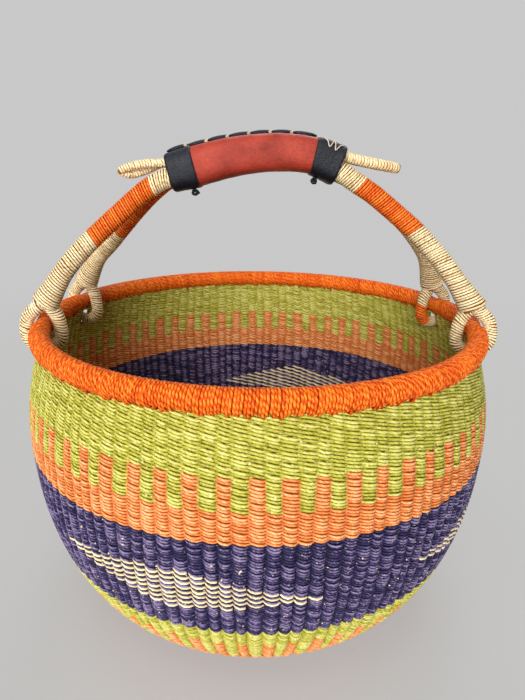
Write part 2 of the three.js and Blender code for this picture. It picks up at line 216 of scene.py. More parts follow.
def combine(x=0.0, y=0.0, z=0.0):
    tree = next(value.tree for value in (x, y, z) if isinstance(value, Field))
    return add(tree, "ShaderNodeCombineXYZ", {"X": x, "Y": y, "Z": z})


def separate(value):
    parts = add(value.tree, "ShaderNodeSeparateXYZ", {0: value})
    return [parts[letter] for letter in "XYZ"]


def noise(place, scale, detail=1.0):
    """A noise around zero, from about -0.5 to 0.5."""
    return add(place.tree, "ShaderNodeTexNoise", {"Vector": place, "Scale": scale, "Detail": detail}) - 0.5


def chance_of(number, seed=0):
    """A random number from 0 to 1 for each whole number."""
    return add(number.tree, "FunctionNodeRandomValue", {"ID": number, "Seed": seed})


def blend(factor, first, second):
    """A mix of two colours."""
    return add(factor.tree, "ShaderNodeMix", {"Factor": factor, "A": first, "B": second},
               out="Result", data_type="RGBA")


# %% Steps that the geometry trees share
def store(geometry, label, value):
    """Keeps a number, or three, on every point, for the material to read."""
    kind = "FLOAT_VECTOR" if value.is_vector else "FLOAT"
    return add(geometry.tree, "GeometryNodeStoreNamedAttribute",
               {"Geometry": geometry, "Name": label, "Value": value}, data_type=kind)


def kept(tree, label, kind="FLOAT"):
    """What was stored under a label."""
    return add(tree, "GeometryNodeInputNamedAttribute", {"Name": label}, data_type=kind)


def line_of(line):
    """The curve of a guide line that a tree was given as an object."""
    return add(line.tree, "GeometryNodeObjectInfo", {"Object": line}, out="Geometry",
               transform_space="ORIGINAL")


def sampled(path, length, value=0.0):
    """The place of a curve at a distance along it, and with it its Tangent and a Value."""
    return add(path.tree, "GeometryNodeSampleCurve", {"Curves": path, "Length": length, "Value": value},
               out="Position", mode="LENGTH", data_type="FLOAT")


def moved(geometry, place):
    return add(geometry.tree, "GeometryNodeSetPosition", {"Geometry": geometry, "Position": place})


def copied(points, shape):
    """A real copy of a shape for each point."""
    copies = add(points.tree, "GeometryNodeInstanceOnPoints", {"Points": points, "Instance": shape})
    return add(points.tree, "GeometryNodeRealizeInstances", {"Geometry": copies})


def round_section(tree, sides, radius=1.0):
    return add(tree, "GeometryNodeCurvePrimitiveCircle", {"Resolution": sides, "Radius": radius})


def tube(line, section, scale=1.0):
    """A closed skin: a section drawn along a line."""
    return add(line.tree, "GeometryNodeCurveToMesh",
               {"Curve": line, "Profile Curve": section, "Scale": scale, "Fill Caps": True})


def dressed(skin, material, out):
    """The end of every tree: smooth, real and with its material."""
    tree = skin.tree
    skin = add(tree, "GeometryNodeSetShadeSmooth", {"Geometry": skin})
    skin = add(tree, "GeometryNodeRealizeInstances", {"Geometry": skin})
    skin = add(tree, "GeometryNodeSetMaterial", {"Geometry": skin, "Material": material})
    tree.links.new(skin.socket, out.inputs[0])
    return tree


FLOAT, WHOLE, COLOR, ARROW = "NodeSocketFloat", "NodeSocketInt", "NodeSocketColor", "NodeSocketVector"
GEOMETRY, MATERIAL, OBJECT = "NodeSocketGeometry", "NodeSocketMaterial", "NodeSocketObject"


def new_group(name, kind, inputs, outputs=(("Geometry", GEOMETRY),)):
    """An empty node group with named sockets, given as (name, type, default)."""
    tree = bpy.data.node_groups.new(name, kind)
    for label, socket_type, default in inputs:
        item = tree.interface.new_socket(label, in_out="INPUT", socket_type=socket_type)
        if default is not None:
            item.default_value = default
    for label, socket_type in outputs:
        tree.interface.new_socket(label, in_out="OUTPUT", socket_type=socket_type)
    entry = tree.nodes.new("NodeGroupInput")
    return tree, {s.name: Field(s) for s in entry.outputs if s.name}, tree.nodes.new("NodeGroupOutput")


# %% [markdown]
# A tree works on an object through a modifier. Its inputs are set before the object is first
# evaluated, the result is turned into a plain mesh, and the object that carried the modifier is
# thrown away, so a finished piece is a plain mesh with nothing live on it. Lines for the trees
# to follow are objects as well, and they are removed at the end.


# %% Helpers that turn a tree into a plain mesh
def grown(name, tree, values):
    """Runs a Geometry Nodes tree and returns its result as a plain mesh object."""
    carrier = bpy.data.objects.new(name + "_carrier", bpy.data.meshes.new(name + "_carrier"))
    bpy.context.scene.collection.objects.link(carrier)
    modifier = carrier.modifiers.new("grow", "NODES")
    modifier.node_group = tree
    for item in tree.interface.items_tree:
        if item.item_type == "SOCKET" and item.in_out == "INPUT" and item.name in values:
            modifier[item.identifier] = values[item.name]
    carrier.update_tag()
    evaluated = carrier.evaluated_get(bpy.context.evaluated_depsgraph_get())
    mesh = bpy.data.meshes.new_from_object(evaluated)
    mesh.name = name
    piece = bpy.data.objects.new(name, mesh)
    bpy.context.scene.collection.objects.link(piece)
    carrier.modifiers.remove(modifier)
    bpy.data.objects.remove(carrier)
    return piece


def joined(parts):
    """Several plain mesh objects as one, under the name of the first."""
    if len(parts) > 1:
        with bpy.context.temp_override(active_object=parts[0], selected_editable_objects=parts):
            bpy.ops.object.join()
    return parts[0]


def fitted(piece, body, *nodes, slot=None):
    """Ties a finished piece to its body, hides the nodes it stands for, and says its size."""
    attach(piece, body)
    if nodes:
        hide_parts(*nodes)
    triangles = sum(len(face.vertices) - 2 for face in piece.data.polygons)
    print(f"{piece.name}: {triangles} triangles, on {body}")


guides = []


def line_object(name, points, radii=None, closed=False):
    """A plain line through points, for trees to follow, with a radius at each point."""
    data = bpy.data.curves.new(name, "CURVE")
    data.dimensions = "3D"
    spline = data.splines.new("POLY")
    spline.points.add(len(points) - 1)
    for i, (point, place) in enumerate(zip(spline.points, points)):
        point.co = (*place, 1)
        point.radius = radii[i] if radii else 1
    spline.use_cyclic_u = closed
    line = bpy.data.objects.new(name, data)
    bpy.context.scene.collection.objects.link(line)
    guides.append(line)
    return line


profile_line = line_object("wall_profile", [(radius, 0, z) for radius, z in profile_points])

# %% [markdown]
# ## Places on the wall
# Rows and stakes are both laid out by two numbers: a turn round the basket, and a distance down
# the wall's face from the middle of the rim. Where a loop of the handle goes through the wall,
# they step aside and leave a slot, and towards the rim they follow the mouth, which the handle
# draws in on its two sides.

# %% From turn and distance to a place
SLOT_HALF_WIDTH = mm(5.9)
SLOT_LIP = mm(3.9)
SLOT_TOP, SLOT_DEPTH = mm(9.6), mm(24.4)


def beside_slots(angle, arc):
    """Moves an angle out to the edge of a slot, where a loop of the handle goes through the wall.

    Returns the new angle, and 1 where the old one was in the slot's middle."""
    edge, middle = SLOT_HALF_WIDTH / RIM_RADIUS, (SLOT_HALF_WIDTH - SLOT_LIP) / RIM_RADIUS
    deep = (arc > SLOT_TOP) * (arc < SLOT_DEPTH)
    cut = 0
    for turn in FEET.values():
        away = calc("WRAP", angle - math.radians(turn), math.pi, -math.pi)
        angle = at_least(edge - abs(away), 0) * deep * calc("SIGN", away) + angle
        cut = at_least((abs(away) < middle) * deep, cut)
    return angle, cut


def drawn_in(x, height):
    """The mouth drawn in along x: not at all at the widest part, fully at the rim."""
    up = clamped((height - (RIM_HEIGHT - WIDEST_DROP)) / (WIDEST_DROP - RIM_THICKNESS))
    return x * (up * up * (-MOUTH_DRAW_IN / RIM_RADIUS) + 1)


def on_wall(profile, arc, angle, reach):
    """A place that far out from the wall's outer face, and the wall's outward direction there."""
    sample = sampled(line_of(profile), arc)
    face, run = separate(sample), separate(sample["Tangent"])
    radius, height = face[0] - run[2] * reach, run[0] * reach + face[2]
    place = combine(drawn_in(cosine(angle) * radius, height), sine(angle) * radius, height)
    return place, combine(-run[2] * cosine(angle), -run[2] * sine(angle), run[0])


# %% [markdown]
# ## The twined weave
# The wall is twined: a pair of strands runs round and round, and between every two ribs they
# change places, one to the outside and one to the inside, with half a twist. It could be faked
# with a bump map, but the outline, the grooves between ribs and the dark gaps only look right
# as real strands. A Geometry Nodes tree makes every row: it starts from circles, works out for
# each point which rib it is at and which strand it belongs to, and moves it there.
#
# In the eye band one strand is left undyed inside four diamonds. Each is marked by the turn, in
# degrees, and the distance down, in millimetres, of its top. Its two sides fall by so many
# millimetres from rib to rib, one to the right and one to the left.

# %% The diamonds
DIAMOND_TOPS = [(-105, 116.5), (-24, 122), (76.5, 119.6), (166, 119)]
FALL_RIGHT, FALL_LEFT = 1.43, 2.3
DIAMOND_LENGTH, DIAMOND_WIDTH = 10, 11


def diamond(angle, arc, top_angle, top_arc, rib_turn):
    """1 inside one woven diamond, and 0 outside. Its sides step by ribs and by rows."""
    across = calc("WRAP", angle - top_angle, math.pi, -math.pi) / rib_turn
    below = (arc - top_arc) * 1000
    right = (across * FALL_RIGHT + below) / (FALL_RIGHT + FALL_LEFT)
    left = (across * -FALL_LEFT + below) / (FALL_RIGHT + FALL_LEFT)
    return (right > 0) * (right < DIAMOND_LENGTH) * (left > 0) * (left < DIAMOND_WIDTH)


# %% The tree of the twined rows
POINTS_PER_RIB = 4
FIRST_ACROSS, ACROSS_STEP = -0.1, 0.3
WEAVE_SIDES = 5
CROWN_POWER = 0.7
RIB_GRAIN, ROW_GRAIN, WANDER_GRAIN = 9, 5, 2.5
LINE_STEP = 1000
ROW_WANDER = mm(3)
STITCH_PLAY = mm(0.85)
LEAST_BULGE, BULGE_PLAY = 0.92, 0.16
PINCH = 0.12
TWIST_PER_RIB, TWIST_PER_ROW = 9.0, 3.7


def weave_tree():
    tree, given, out = new_group("Twined rows", "GeometryNodeTree", [
        ("Profile", OBJECT, None), ("First Row", FLOAT, 0.0), ("Row Pitch", FLOAT, mm(2.3)),
        ("Rows", WHOLE, 10), ("Ribs", WHOLE, 124), ("Strand Radius", FLOAT, mm(1.27)),
        ("Bulge", FLOAT, mm(2.3)), ("Slant", FLOAT, mm(0.7)), ("Inner Slant", FLOAT, mm(0.7)),
        ("Sag", FLOAT, mm(0.4)), ("Rib Drift", FLOAT, 0.45), ("Checker", FLOAT, 0.0), ("Blocks", FLOAT, 0.0),
        ("Diamonds", FLOAT, 0.0), ("Seed", WHOLE, 0), ("Material", MATERIAL, None),
    ])
    per_row = given["Ribs"] * POINTS_PER_RIB
    circle = add(tree, "GeometryNodeMeshCircle", {"Vertices": per_row})
    rows = copied(add(tree, "GeometryNodeMeshLine", {"Count": given["Rows"] * 2}), circle)

    # Which strand, row and rib a point belongs to, and how far it is across its rib.
    line, step = counted(add(tree, "GeometryNodeInputIndex"), per_row)
    rib, part = counted(step, POINTS_PER_RIB)
    row, strand = counted(line, 2)
    across = at_least(part * ACROSS_STEP + FIRST_ACROSS, 0)

    # Outside on one rib, inside on the next.
    shift = rib + strand + given["Checker"] * row
    side = calc("MODULO", shift, 2) * -2 + 1
    outside = at_least(side, 0)
    half_turn = across * math.pi
    crown = at_least(sine(half_turn), 0) ** CROWN_POWER
    chance = chance_of(line * LINE_STEP + rib, given["Seed"])

    # Ribs drift a little from even spacing, the same way all down the wall.
    rib_turn = 2 * math.pi / given["Ribs"]
    even = (rib + (across - 0.5)) * rib_turn
    arc = row * given["Row Pitch"] + given["First Row"]
    ring = combine(cosine(even) * RIB_GRAIN, sine(even) * RIB_GRAIN, arc * RIB_GRAIN)
    drift = noise(ring, 1.0) * (given["Rib Drift"] * 2)
    angle, open_here = beside_slots(drift * rib_turn + even, arc)

    # Rows wander gently too, every stitch sags between its ribs, and it slants down its way.
    wander = noise(combine(cosine(even), sine(even), arc * ROW_GRAIN), WANDER_GRAIN) * ROW_WANDER
    slant = (given["Slant"] - given["Inner Slant"]) * outside + given["Inner Slant"]
    tilt = cosine(half_turn) * slant * side
    dip = crown * given["Sag"] * outside
    loose = (chance - 0.5) * (crown * STITCH_PLAY)
    place = at_least(arc + wander + (loose + dip) - tilt, 0)
    reach = side * crown * given["Bulge"] * (chance * BULGE_PLAY + LEAST_BULGE)
    reach = reach - (given["Bulge"] + given["Strand Radius"])
    spot, outward = on_wall(given["Profile"], place, angle, reach)

    # Dye: strand by strand in the blocks, and one strand inside the diamonds.
    mark = 0
    for top_turn, top_arc in DIAMOND_TOPS:
        mark = at_least(diamond(rib * rib_turn, arc, math.radians(top_turn), mm(top_arc), rib_turn), mark)
    dye = at_least(mark * given["Diamonds"] * (1 - strand), given["Blocks"] * strand)

    # The straw group paints shade where the crown is low, where the strands cross between ribs.
    run_on = line * TWIST_PER_ROW + (rib + across) * TWIST_PER_RIB
    for label, value in (("dye", dye), ("shade", chance), ("crown", crown), ("open", open_here),
                         ("along", run_on), ("outward", outward)):
        rows = store(rows, label, value)
    rows = moved(rows, spot)
    rows = add(tree, "GeometryNodeDeleteGeometry", {"Geometry": rows, "Selection": kept(tree, "open") > 0.5},
               domain="POINT")

    # A strand's section is laid with its own x outwards, and kept the other way round, because
    # the straw group takes x for the side that faces the next strand, where it paints shade.
    strands = add(tree, "GeometryNodeMeshToCurve", {"Mesh": rows})
    strands = add(tree, "GeometryNodeSetCurveNormal",
                  {"Curve": strands, "Normal": kept(tree, "outward", "FLOAT_VECTOR")}, mode="FREE")
    corner = separate(add(tree, "GeometryNodeInputPosition"))
    section = store(round_section(tree, WEAVE_SIDES), "round", combine(corner[1], corner[0]))
    skin = tube(strands, section, given["Strand Radius"] * (kept(tree, "crown") * PINCH + (1 - PINCH)))
    skin = add(tree, "GeometryNodeRemoveAttribute", {"Geometry": skin, "Name": "outward"})
    return dressed(skin, given["Material"], out)


twined_rows = weave_tree()
print("twined rows:", len(twined_rows.nodes), "nodes")

# %% [markdown]
# ## The wrappings
# The rim, the handle's strands, their loops and the ears are all wrapped: one flat straw goes
# round and round a bundle. The second tree does that. It starts from one long thin cylinder,
# lays its length along a helix round a guide line, and flattens its section so that the flat
# side lies on the bundle. The guide line's radius says how thick the bundle is at each place.

# %% The tree of a wrapping
POINTS_PER_TURN = 11
WRAP_SIDES = 6
SEED_STEP = 7.31
SHIFT_GRAIN, LIFT_GRAIN = 0.8, 1.1
LIFT_PLACE, FRINGE_PLACE = 40.0, 80.0
SHIFT_PLAY = 2.5
FRINGE_POWER = 5
FRINGE_MIDDLE, FRINGE_INWARD = 0.6, -0.4
FRINGE_LEAST, FRINGE_PLAY = 0.35, 2.4
STRAW_SHIFT = 22


def wrap_tree():
    tree, given, out = new_group("Wrapping", "GeometryNodeTree", [
        ("Path", OBJECT, None), ("Start", FLOAT, 0.0), ("End", FLOAT, 0.1), ("Pitch", FLOAT, mm(2)),
        ("Straw Width", FLOAT, mm(2.3)), ("Straw Thickness", FLOAT, mm(1.5)), ("Lean", FLOAT, 0.0),
        ("Slant", FLOAT, 0.0), ("Unevenness", FLOAT, mm(0.45)), ("Fringe", FLOAT, 0.0),
        ("Phase", FLOAT, 0.0), ("Seed", WHOLE, 0), ("Side", ARROW, (0, 1, 0)), ("Material", MATERIAL, None),
    ])
    run = given["End"] - given["Start"]
    turns = at_least(calc("ROUND", run / given["Pitch"]), 1)
    straw = add(tree, "GeometryNodeMeshCylinder", {
        "Vertices": WRAP_SIDES, "Side Segments": turns * POINTS_PER_TURN, "Radius": 1.0, "Depth": 1.0,
    }, fill_type="NGON")
    spot = separate(add(tree, "GeometryNodeInputPosition"))
    share = spot[2] + 0.5
    turn = share * turns
    angle = (turn + given["Phase"]) * (2 * math.pi)

    # Small irregularities that change from turn to turn, and a tone for each turn.
    seed = given["Seed"] * SEED_STEP
    shift = noise(combine(turn * SHIFT_GRAIN, seed), 1.0)
    lift = noise(combine(turn * LIFT_GRAIN, seed, LIFT_PLACE), 1.0)
    long = noise(combine(turn, seed, FRINGE_PLACE), 1.0, 0.0)
    tone = chance_of(calc("FLOOR", turn + 0.5), given["Seed"])

    # The place on the guide line, and the two directions across it.
    along = share * run + given["Start"]
    along = sine(angle) * given["Slant"] + along
    along = cosine(angle) * given["Lean"] + along
    along = shift * (given["Unevenness"] * SHIFT_PLAY) + along
    sample = sampled(line_of(given["Path"]), along, add(tree, "GeometryNodeInputRadius"))
    forward = sample["Tangent"]
    first = calc("NORMALIZE", calc("CROSS_PRODUCT", forward, given["Side"]))
    second = calc("CROSS_PRODUCT", forward, first)
    outward = first * cosine(angle) + second * sine(angle)

    # Some turns reach further down into the weave below, mostly on the outside.
    down = at_least(-separate(outward)[2], 0) ** FRINGE_POWER
    down = down * (cosine(angle) * FRINGE_INWARD + FRINGE_MIDDLE)
    reach = down * at_least(long * FRINGE_PLAY + FRINGE_LEAST, 0) * given["Fringe"]
    radius = lift * given["Unevenness"] + (sample["Value"] + reach)

    # The straw's own flat section.
    flat = spot[0] * 0.5 * given["Straw Width"]
    radius = radius + spot[1] * 0.5 * given["Straw Thickness"]
    place = sample + outward * radius + forward * flat
    run_on = shift * STRAW_SHIFT + angle * sample["Value"] * 1000
    # The straw group paints shade on the face that lies on the bundle and on the sides towards the next
    # turns.
    for label, value in (("shade", tone), ("crown", spot[1] * 0.5 + 0.5), ("along", run_on),
                         ("round", combine(spot[0], spot[1]))):
        straw = store(straw, label, value)
    return dressed(moved(straw, place), given["Material"], out)


wrapping = wrap_tree()
print("wrapping:", len(wrapping.nodes), "nodes")

# %% [markdown]
# ## Straw and grass
# Dyed grass is not one colour: each stitch took the dye a little differently, the strands are
# twisted so they show fine streaks, and here and there a pale undyed fibre comes to the surface.
# That is one shader group, shared by every woven and wrapped piece, which puts out a colour, a
# roughness and a height. It also paints shade into the colour: darker on the sides of a strand,
# where the next one lies against it, on the face of a wrapped straw that lies on its bundle, and
# where strands cross between ribs. Each material gives it its own three colours.


# %% The shared straw group
FINE_GRAIN, PATCH_GRAIN, FLECK_GRAIN = 900.0, 28.0, 520.0
FIBRE_TWIST, FIBRE_STRETCH, FIBRE_GRAIN = 0.7, 0.16, 1.5
FINE_SHARE, PATCH_SHARE = 0.7, 0.12
CROWN_SHADE_LEVEL, SIDE_SHADE_LEVEL, SIDE_SHADE_POWER = 0.8, 0.15, 4
FLECK_LEVEL, FLECK_EDGE = 0.32, 12
ROUGH_MIDDLE, ROUGH_PLAY = 0.6, 0.25
FIBRE_HEIGHT = 2


def painted(tree, label, out="Fac"):
    """What a geometry tree stored under a label, as the material reads it."""
    return add(tree, "ShaderNodeAttribute", out=out, attribute_name=label)


def put_out(out, values):
    """Links the outputs of a shader group."""
    for label, value in values.items():
        value.tree.links.new(value.socket, out.inputs[label])


def straw_group():
    tree, given, out = new_group("Straw", "ShaderNodeTree", [
        ("Dark", COLOR, (0, 0, 0, 1)), ("Middle", COLOR, (0.5, 0.5, 0.5, 1)), ("Light", COLOR, (1, 1, 1, 1)),
        ("Fleck", COLOR, (0.8, 0.7, 0.5, 1)), ("Fleck Share", FLOAT, 0.03), ("Contrast", FLOAT, 0.6),
        ("Fibres", FLOAT, 1.0), ("Depth", FLOAT, 0.7), ("Plies", FLOAT, 0.2), ("Groove Shade", FLOAT, 0.8),
    ], [("Color", COLOR), ("Roughness", FLOAT), ("Height", FLOAT)])
    place = add(tree, "ShaderNodeTexCoord", out="Object")
    shade, crown, length = [painted(tree, label) for label in ("shade", "crown", "along")]
    section = painted(tree, "round", "Vector")
    fine = noise(place, FINE_GRAIN, 2.0)
    edge = abs(separate(calc("NORMALIZE", section))[0]) ** SIDE_SHADE_POWER

    # Fibres run along the strand with a slow twist, and so does the furrow between its two plies, which is
    # bumped and darkened by painted shade.
    twisted = add(tree, "ShaderNodeVectorRotate", {"Vector": section, "Angle": length * FIBRE_TWIST},
                  rotation_type="Z_AXIS")
    x, y = separate(twisted)[:2]
    fibre = noise(combine(x, y, length * FIBRE_STRETCH), FIBRE_GRAIN, 1.0)
    ply = (x * x - y * y) * given["Plies"]

    tone = (shade - 0.5) * given["Contrast"] + 0.5
    tone = tone + noise(place, PATCH_GRAIN, 2.0) * PATCH_SHARE + ply + fine * FINE_SHARE
    tone = tone + fibre * given["Fibres"]
    # Painted shade: the tone drops where the crown is low, where strands cross between ribs or a straw lies
    # on its bundle, and on the sides that lie against the next strand.
    tone = tone + (crown - CROWN_SHADE_LEVEL) * given["Depth"] + (SIDE_SHADE_LEVEL - edge) * given["Groove Shade"]
    color = blend(tone * 2, given["Dark"], given["Middle"])
    color = blend(tone * 2 - 1, color, given["Light"])
    speck = clamped((noise(place, FLECK_GRAIN, 0.0) + given["Fleck Share"] - FLECK_LEVEL) * FLECK_EDGE)
    put_out(out, {"Color": blend(speck, color, given["Fleck"]),
                  "Roughness": fine * ROUGH_PLAY + ROUGH_MIDDLE,
                  "Height": fibre * FIBRE_HEIGHT + (fine + ply)})
    return tree


straw = straw_group()


# %% [markdown]
# A dye is a set of values for that group. Its three colours are written as a screen shows them,
# from 0 to 255, and turned into the light values that a shader takes. A low fleck share means
# no flecks at all.


# %% Dyes
def linear(red, green, blue):
    """A colour as a screen shows it, 0 to 255, as the light values that a shader takes."""
    def channel(value):
        value /= 255
        return value / 12.92 if value <= 0.04045 else ((value + 0.055) / 1.055) ** 2.4
    return channel(red), channel(green), channel(blue), 1


PALE = linear(236, 216, 170)


# Two of a dye's values set how strongly the straw group paints shade: one where the crown is low, one along
# the sides where strands lie together.
def dye(dark, middle, light, flecks, contrast, fibres, depth, plies, groove_shade):
    """One dye, as values for the inputs of the straw group."""
    return {"Dark": linear(*dark), "Middle": linear(*middle), "Light": linear(*light), "Fleck": PALE,
            "Fleck Share": flecks, "Contrast": contrast, "Fibres": fibres, "Depth": depth,
            "Plies": plies, "Groove Shade": groove_shade}


DYES = {
    "green": dye((96, 90, 12), (184, 178, 64), (228, 224, 146), 0.07, 0.4, 0.9, 0.25, 0.08, 0.8),
    "orange": dye((168, 66, 26), (222, 132, 66), (250, 200, 146), 0.0, 0.35, 0.8, 0.3, 0.08, 0.9),
    "navy": dye((12, 9, 36), (54, 46, 86), (146, 130, 164), 0.04, 0.6, 1.1, 0.5, 0.06, 1.0),
    "cream": dye((170, 140, 96), (236, 216, 172), (254, 246, 222), -0.2, 0.3, 0.7, 0.3, 0.05, 0.5),
    "natural": dye((142, 98, 50), (220, 190, 136), (253, 242, 206), -0.2, 0.22, 1.2, 0.7, 0.15, 0.7),
    "rim": dye((152, 32, 0), (218, 78, 0), (250, 146, 44), -0.2, 0.3, 1.2, 0.7, 0.3, 0.4),
    "limb": dye((164, 48, 4), (214, 82, 14), (248, 142, 52), -0.2, 0.3, 0.7, 0.9, 0.1, 0.7),
    "deep": dye((164, 44, 0), (208, 74, 4), (230, 104, 22), -0.2, 0.3, 1.0, 0.5, 0.1, 0.0),
    # The stakes: real grass, in a brown darker than the straw, so that it paints shade at the bottom of the
    # grooves.
    "brown": dye((80, 54, 28), (130, 94, 52), (170, 134, 80), -0.2, 0.5, 1.0, 0.7, 0.1, 0.0),
    "core": dye((128, 88, 46), (178, 138, 84), (214, 180, 124), -0.2, 0.5, 1.0, 0.7, 0.1, 0.0),
}
STRAW_GLOSS = 0.18


def finished_material(name, build, gloss, bump_strength, bump_depth):
    """A material from a function that gives its colour, roughness and height in a tree."""
    material = bpy.data.materials.new(name)
    material.use_nodes = True
    tree = material.node_tree
    tree.nodes.clear()
    color, roughness, height = build(tree)
    bump = add(tree, "ShaderNodeBump", {"Height": height, "Strength": bump_strength, "Distance": bump_depth})
    shader = add(tree, "ShaderNodeBsdfPrincipled", {
        "Base Color": color, "Roughness": roughness, "Specular IOR Level": gloss, "Normal": bump,
    })
    add(tree, "ShaderNodeOutputMaterial", {"Surface": shader})
    return material


def straw_material(name, main, second=None):
    """Grass of one dye, or of two where the attribute dye tells them apart."""
    def build(tree):
        color = group = add(tree, "ShaderNodeGroup", DYES[main], node_tree=straw)
        if second:
            other = add(tree, "ShaderNodeGroup", DYES[second], node_tree=straw)
            color = blend(painted(tree, "dye") > 0.5, group, other)
        return color, group["Roughness"], group["Height"]

    return finished_material(name, build, STRAW_GLOSS, 0.4, mm(0.3))


natural_straw = straw_material("natural_straw", "natural")
orange_straw = straw_material("orange_straw", "limb")
rim_straw = straw_material("rim_straw", "rim")
deep_straw = straw_material("deep_orange_straw", "deep")
# The stakes' grass, darker than the straw as painted shade in the grooves.
shaded_stake_grass = straw_material("shaded_stake_grass", "brown")
core_grass = straw_material("core_grass", "core")

# %% [markdown]
# ## The colour bands
# Each band is one run of the tree, with its own first row, number of rows and dyes, and stands
# for one ring of the frame. In the block bands one strand is green and the other orange, so the
# ribs come out in turn green and orange. In the eye band the strands change places from row to
# row, and inside four diamonds one of them is left undyed, which draws pale lines. Towards the
# middle of the base there is room for fewer ribs, so their number is halved there.

# %% Weave the bands
ROW_PITCH = mm(2.3)
FIRST_ROW = mm(8.5)
INNER_SLANT = 1.15
BANDS = [
    # node, dyes, rows with their ribs, checker, blocks, diamonds, bulge, slant and sag in mm
    ("upper_green_band", ("green", None), [(17, 124)], 0, 0, 0, 0.8, 0.85, 0.0),
    ("green_and_orange_block_band", ("green", "orange"), [(10, 124)], 0, 1, 0, 1.3, 0.75, 0.2),
    ("orange_band", ("orange", None), [(10, 124)], 0, 0, 0, 1.6, 0.75, 0.3),
    ("upper_navy_band", ("navy", None), [(9, 124)], 0, 0, 0, 2.1, 0.6, 0.6),
    ("natural_eye_band", ("navy", "cream"), [(19, 124)], 1, 0, 1, 2.1, 0.5, 0.9),
    ("lower_navy_band", ("navy", None), [(9, 124)], 0, 0, 0, 2.3, 0.5, 0.5),
    ("lower_green_band", ("green", None), [(8, 124)], 0, 0, 0, 2.3, 0.6, 0.4),
    ("base_block_band", ("orange", "green"), [(12, 124)], 0, 1, 0, 2.2, 0.6, 0.4),
    ("base_ring", ("orange", None), [(6, 124), (27, 62)], 0, 0, 0, 2.1, 0.6, 0.4),
    ("base_centre", ("green", None), [(22, 62), (12, 32), (12, 16)], 0, 0, 0, 1.9, 0.5, 0.3),
]

row = 0
for name, dyes, runs, checker, blocks, diamonds, bulge, slant, sag in BANDS:
    material = straw_material(name + "_grass", *dyes)
    parts = []
    for rows, ribs in runs:
        parts.append(grown("woven_" + name, twined_rows, {
            "Profile": profile_line, "First Row": FIRST_ROW + row * ROW_PITCH, "Row Pitch": ROW_PITCH,
            "Rows": rows, "Ribs": ribs, "Checker": float(checker), "Blocks": float(blocks),
            "Diamonds": float(diamonds), "Bulge": mm(bulge), "Slant": mm(slant),
            "Inner Slant": mm(INNER_SLANT if diamonds else slant), "Sag": mm(sag),
            "Seed": row, "Material": material,
        }))
        row += rows
    fitted(joined(parts), "basket", name)
print("last row at", round((FIRST_ROW + row * ROW_PITCH) * 1000), "mm of",
      round((wall_length + BASE_RADIUS) * 1000))

# %% [markdown]
# ## The stakes
# The strands need something to go round: upright bundles of grass, one for each rib. Their grass
# is a darker brown than the straw, as painted shade, so that they show as dark bottoms to the
# grooves; without them the light would shine through the wall. They follow the middle of the wall
# from the rim to the base, and step aside where a loop of the handle goes through. Near the rim
# the wall is thinner, and they lie closer to its face.

# %% Make the stakes
STAKE_DEPTH = mm(3.4)
TOP_STAKE_DEPTH = mm(2.2)
STAKE_TOP = mm(6)
THIN_WALL = mm(40)
STAKE_STEPS = 30
STAKE_SIDES = 6


def stake_tree():
    tree, given, out = new_group("Stakes", "GeometryNodeTree", [
        ("Profile", OBJECT, None), ("Length", FLOAT, 0.3), ("Count", WHOLE, 124),
        ("Radius", FLOAT, mm(1.1)), ("Material", MATERIAL, None),
    ])
    one = add(tree, "GeometryNodeMeshLine", {"Count": STAKE_STEPS})
    lines = copied(add(tree, "GeometryNodeMeshLine", {"Count": given["Count"]}), one)
    stake, step = counted(add(tree, "GeometryNodeInputIndex"), STAKE_STEPS)
    arc = at_least(step * given["Length"] / (STAKE_STEPS - 1), STAKE_TOP)
    angle = beside_slots(stake * (2 * math.pi) / given["Count"], arc)[0]
    deeper = clamped((arc - THIN_WALL) / THIN_WALL)
    depth = deeper * (STAKE_DEPTH - TOP_STAKE_DEPTH) + TOP_STAKE_DEPTH
    lines = store(lines, "shade", chance_of(stake))
    lines = moved(lines, on_wall(given["Profile"], arc, angle, -depth)[0])
    lines = add(tree, "GeometryNodeMeshToCurve", {"Mesh": lines})
    return dressed(tube(lines, round_section(tree, STAKE_SIDES, given["Radius"])), given["Material"], out)


fitted(grown("stakes", stake_tree(), {
    "Profile": profile_line, "Length": wall_length, "Material": shaded_stake_grass,
}), "basket", slot="bundled_grass")

# %% [markdown]
# ## The rim
# A bundle of grass runs round the top of the wall, and two orange straws are wound round it
# side by side, close and not quite even. Every few turns reach further down into the weave,
# which gives the rim its ragged lower edge. Inside the wrapping lies the bundle itself, so that
# the narrow gaps between turns look into deep orange grass. The loops of the handle squeeze it.

# %% The tree of a bundle
BUNDLE_SHARE = 0.93
BUNDLE_SIDES = 14


def bundle_tree():
    """A plain round bundle along a guide line, a little thinner than its wrapping."""
    tree, given, out = new_group("Bundle", "GeometryNodeTree", [
        ("Path", OBJECT, None), ("Start", FLOAT, 0.0), ("End", FLOAT, 0.1), ("Material", MATERIAL, None),
    ])
    path = add(tree, "GeometryNodeTrimCurve", {
        "Curve": line_of(given["Path"]), 2: given["Start"], 3: given["End"],
    }, mode="LENGTH")
    section = round_section(tree, BUNDLE_SIDES, BUNDLE_SHARE)
    return dressed(tube(path, section, add(tree, "GeometryNodeInputRadius")), given["Material"], out)


bundle = bundle_tree()

# %% Wrap the rim
RIM_STEPS = 360
RIM_WRAP_RADIUS = mm(7.4)
SQUEEZE = mm(1.6)
SQUEEZE_REACH = 3.2


def rim_radius(degrees):
    """The rim's radius, less beside a foot, where the loop squeezes it."""
    away = min(abs((degrees - turn + 180) % 360 - 180) for turn in FEET.values())
    return RIM_WRAP_RADIUS - SQUEEZE * math.exp(-(away / SQUEEZE_REACH) ** 2)


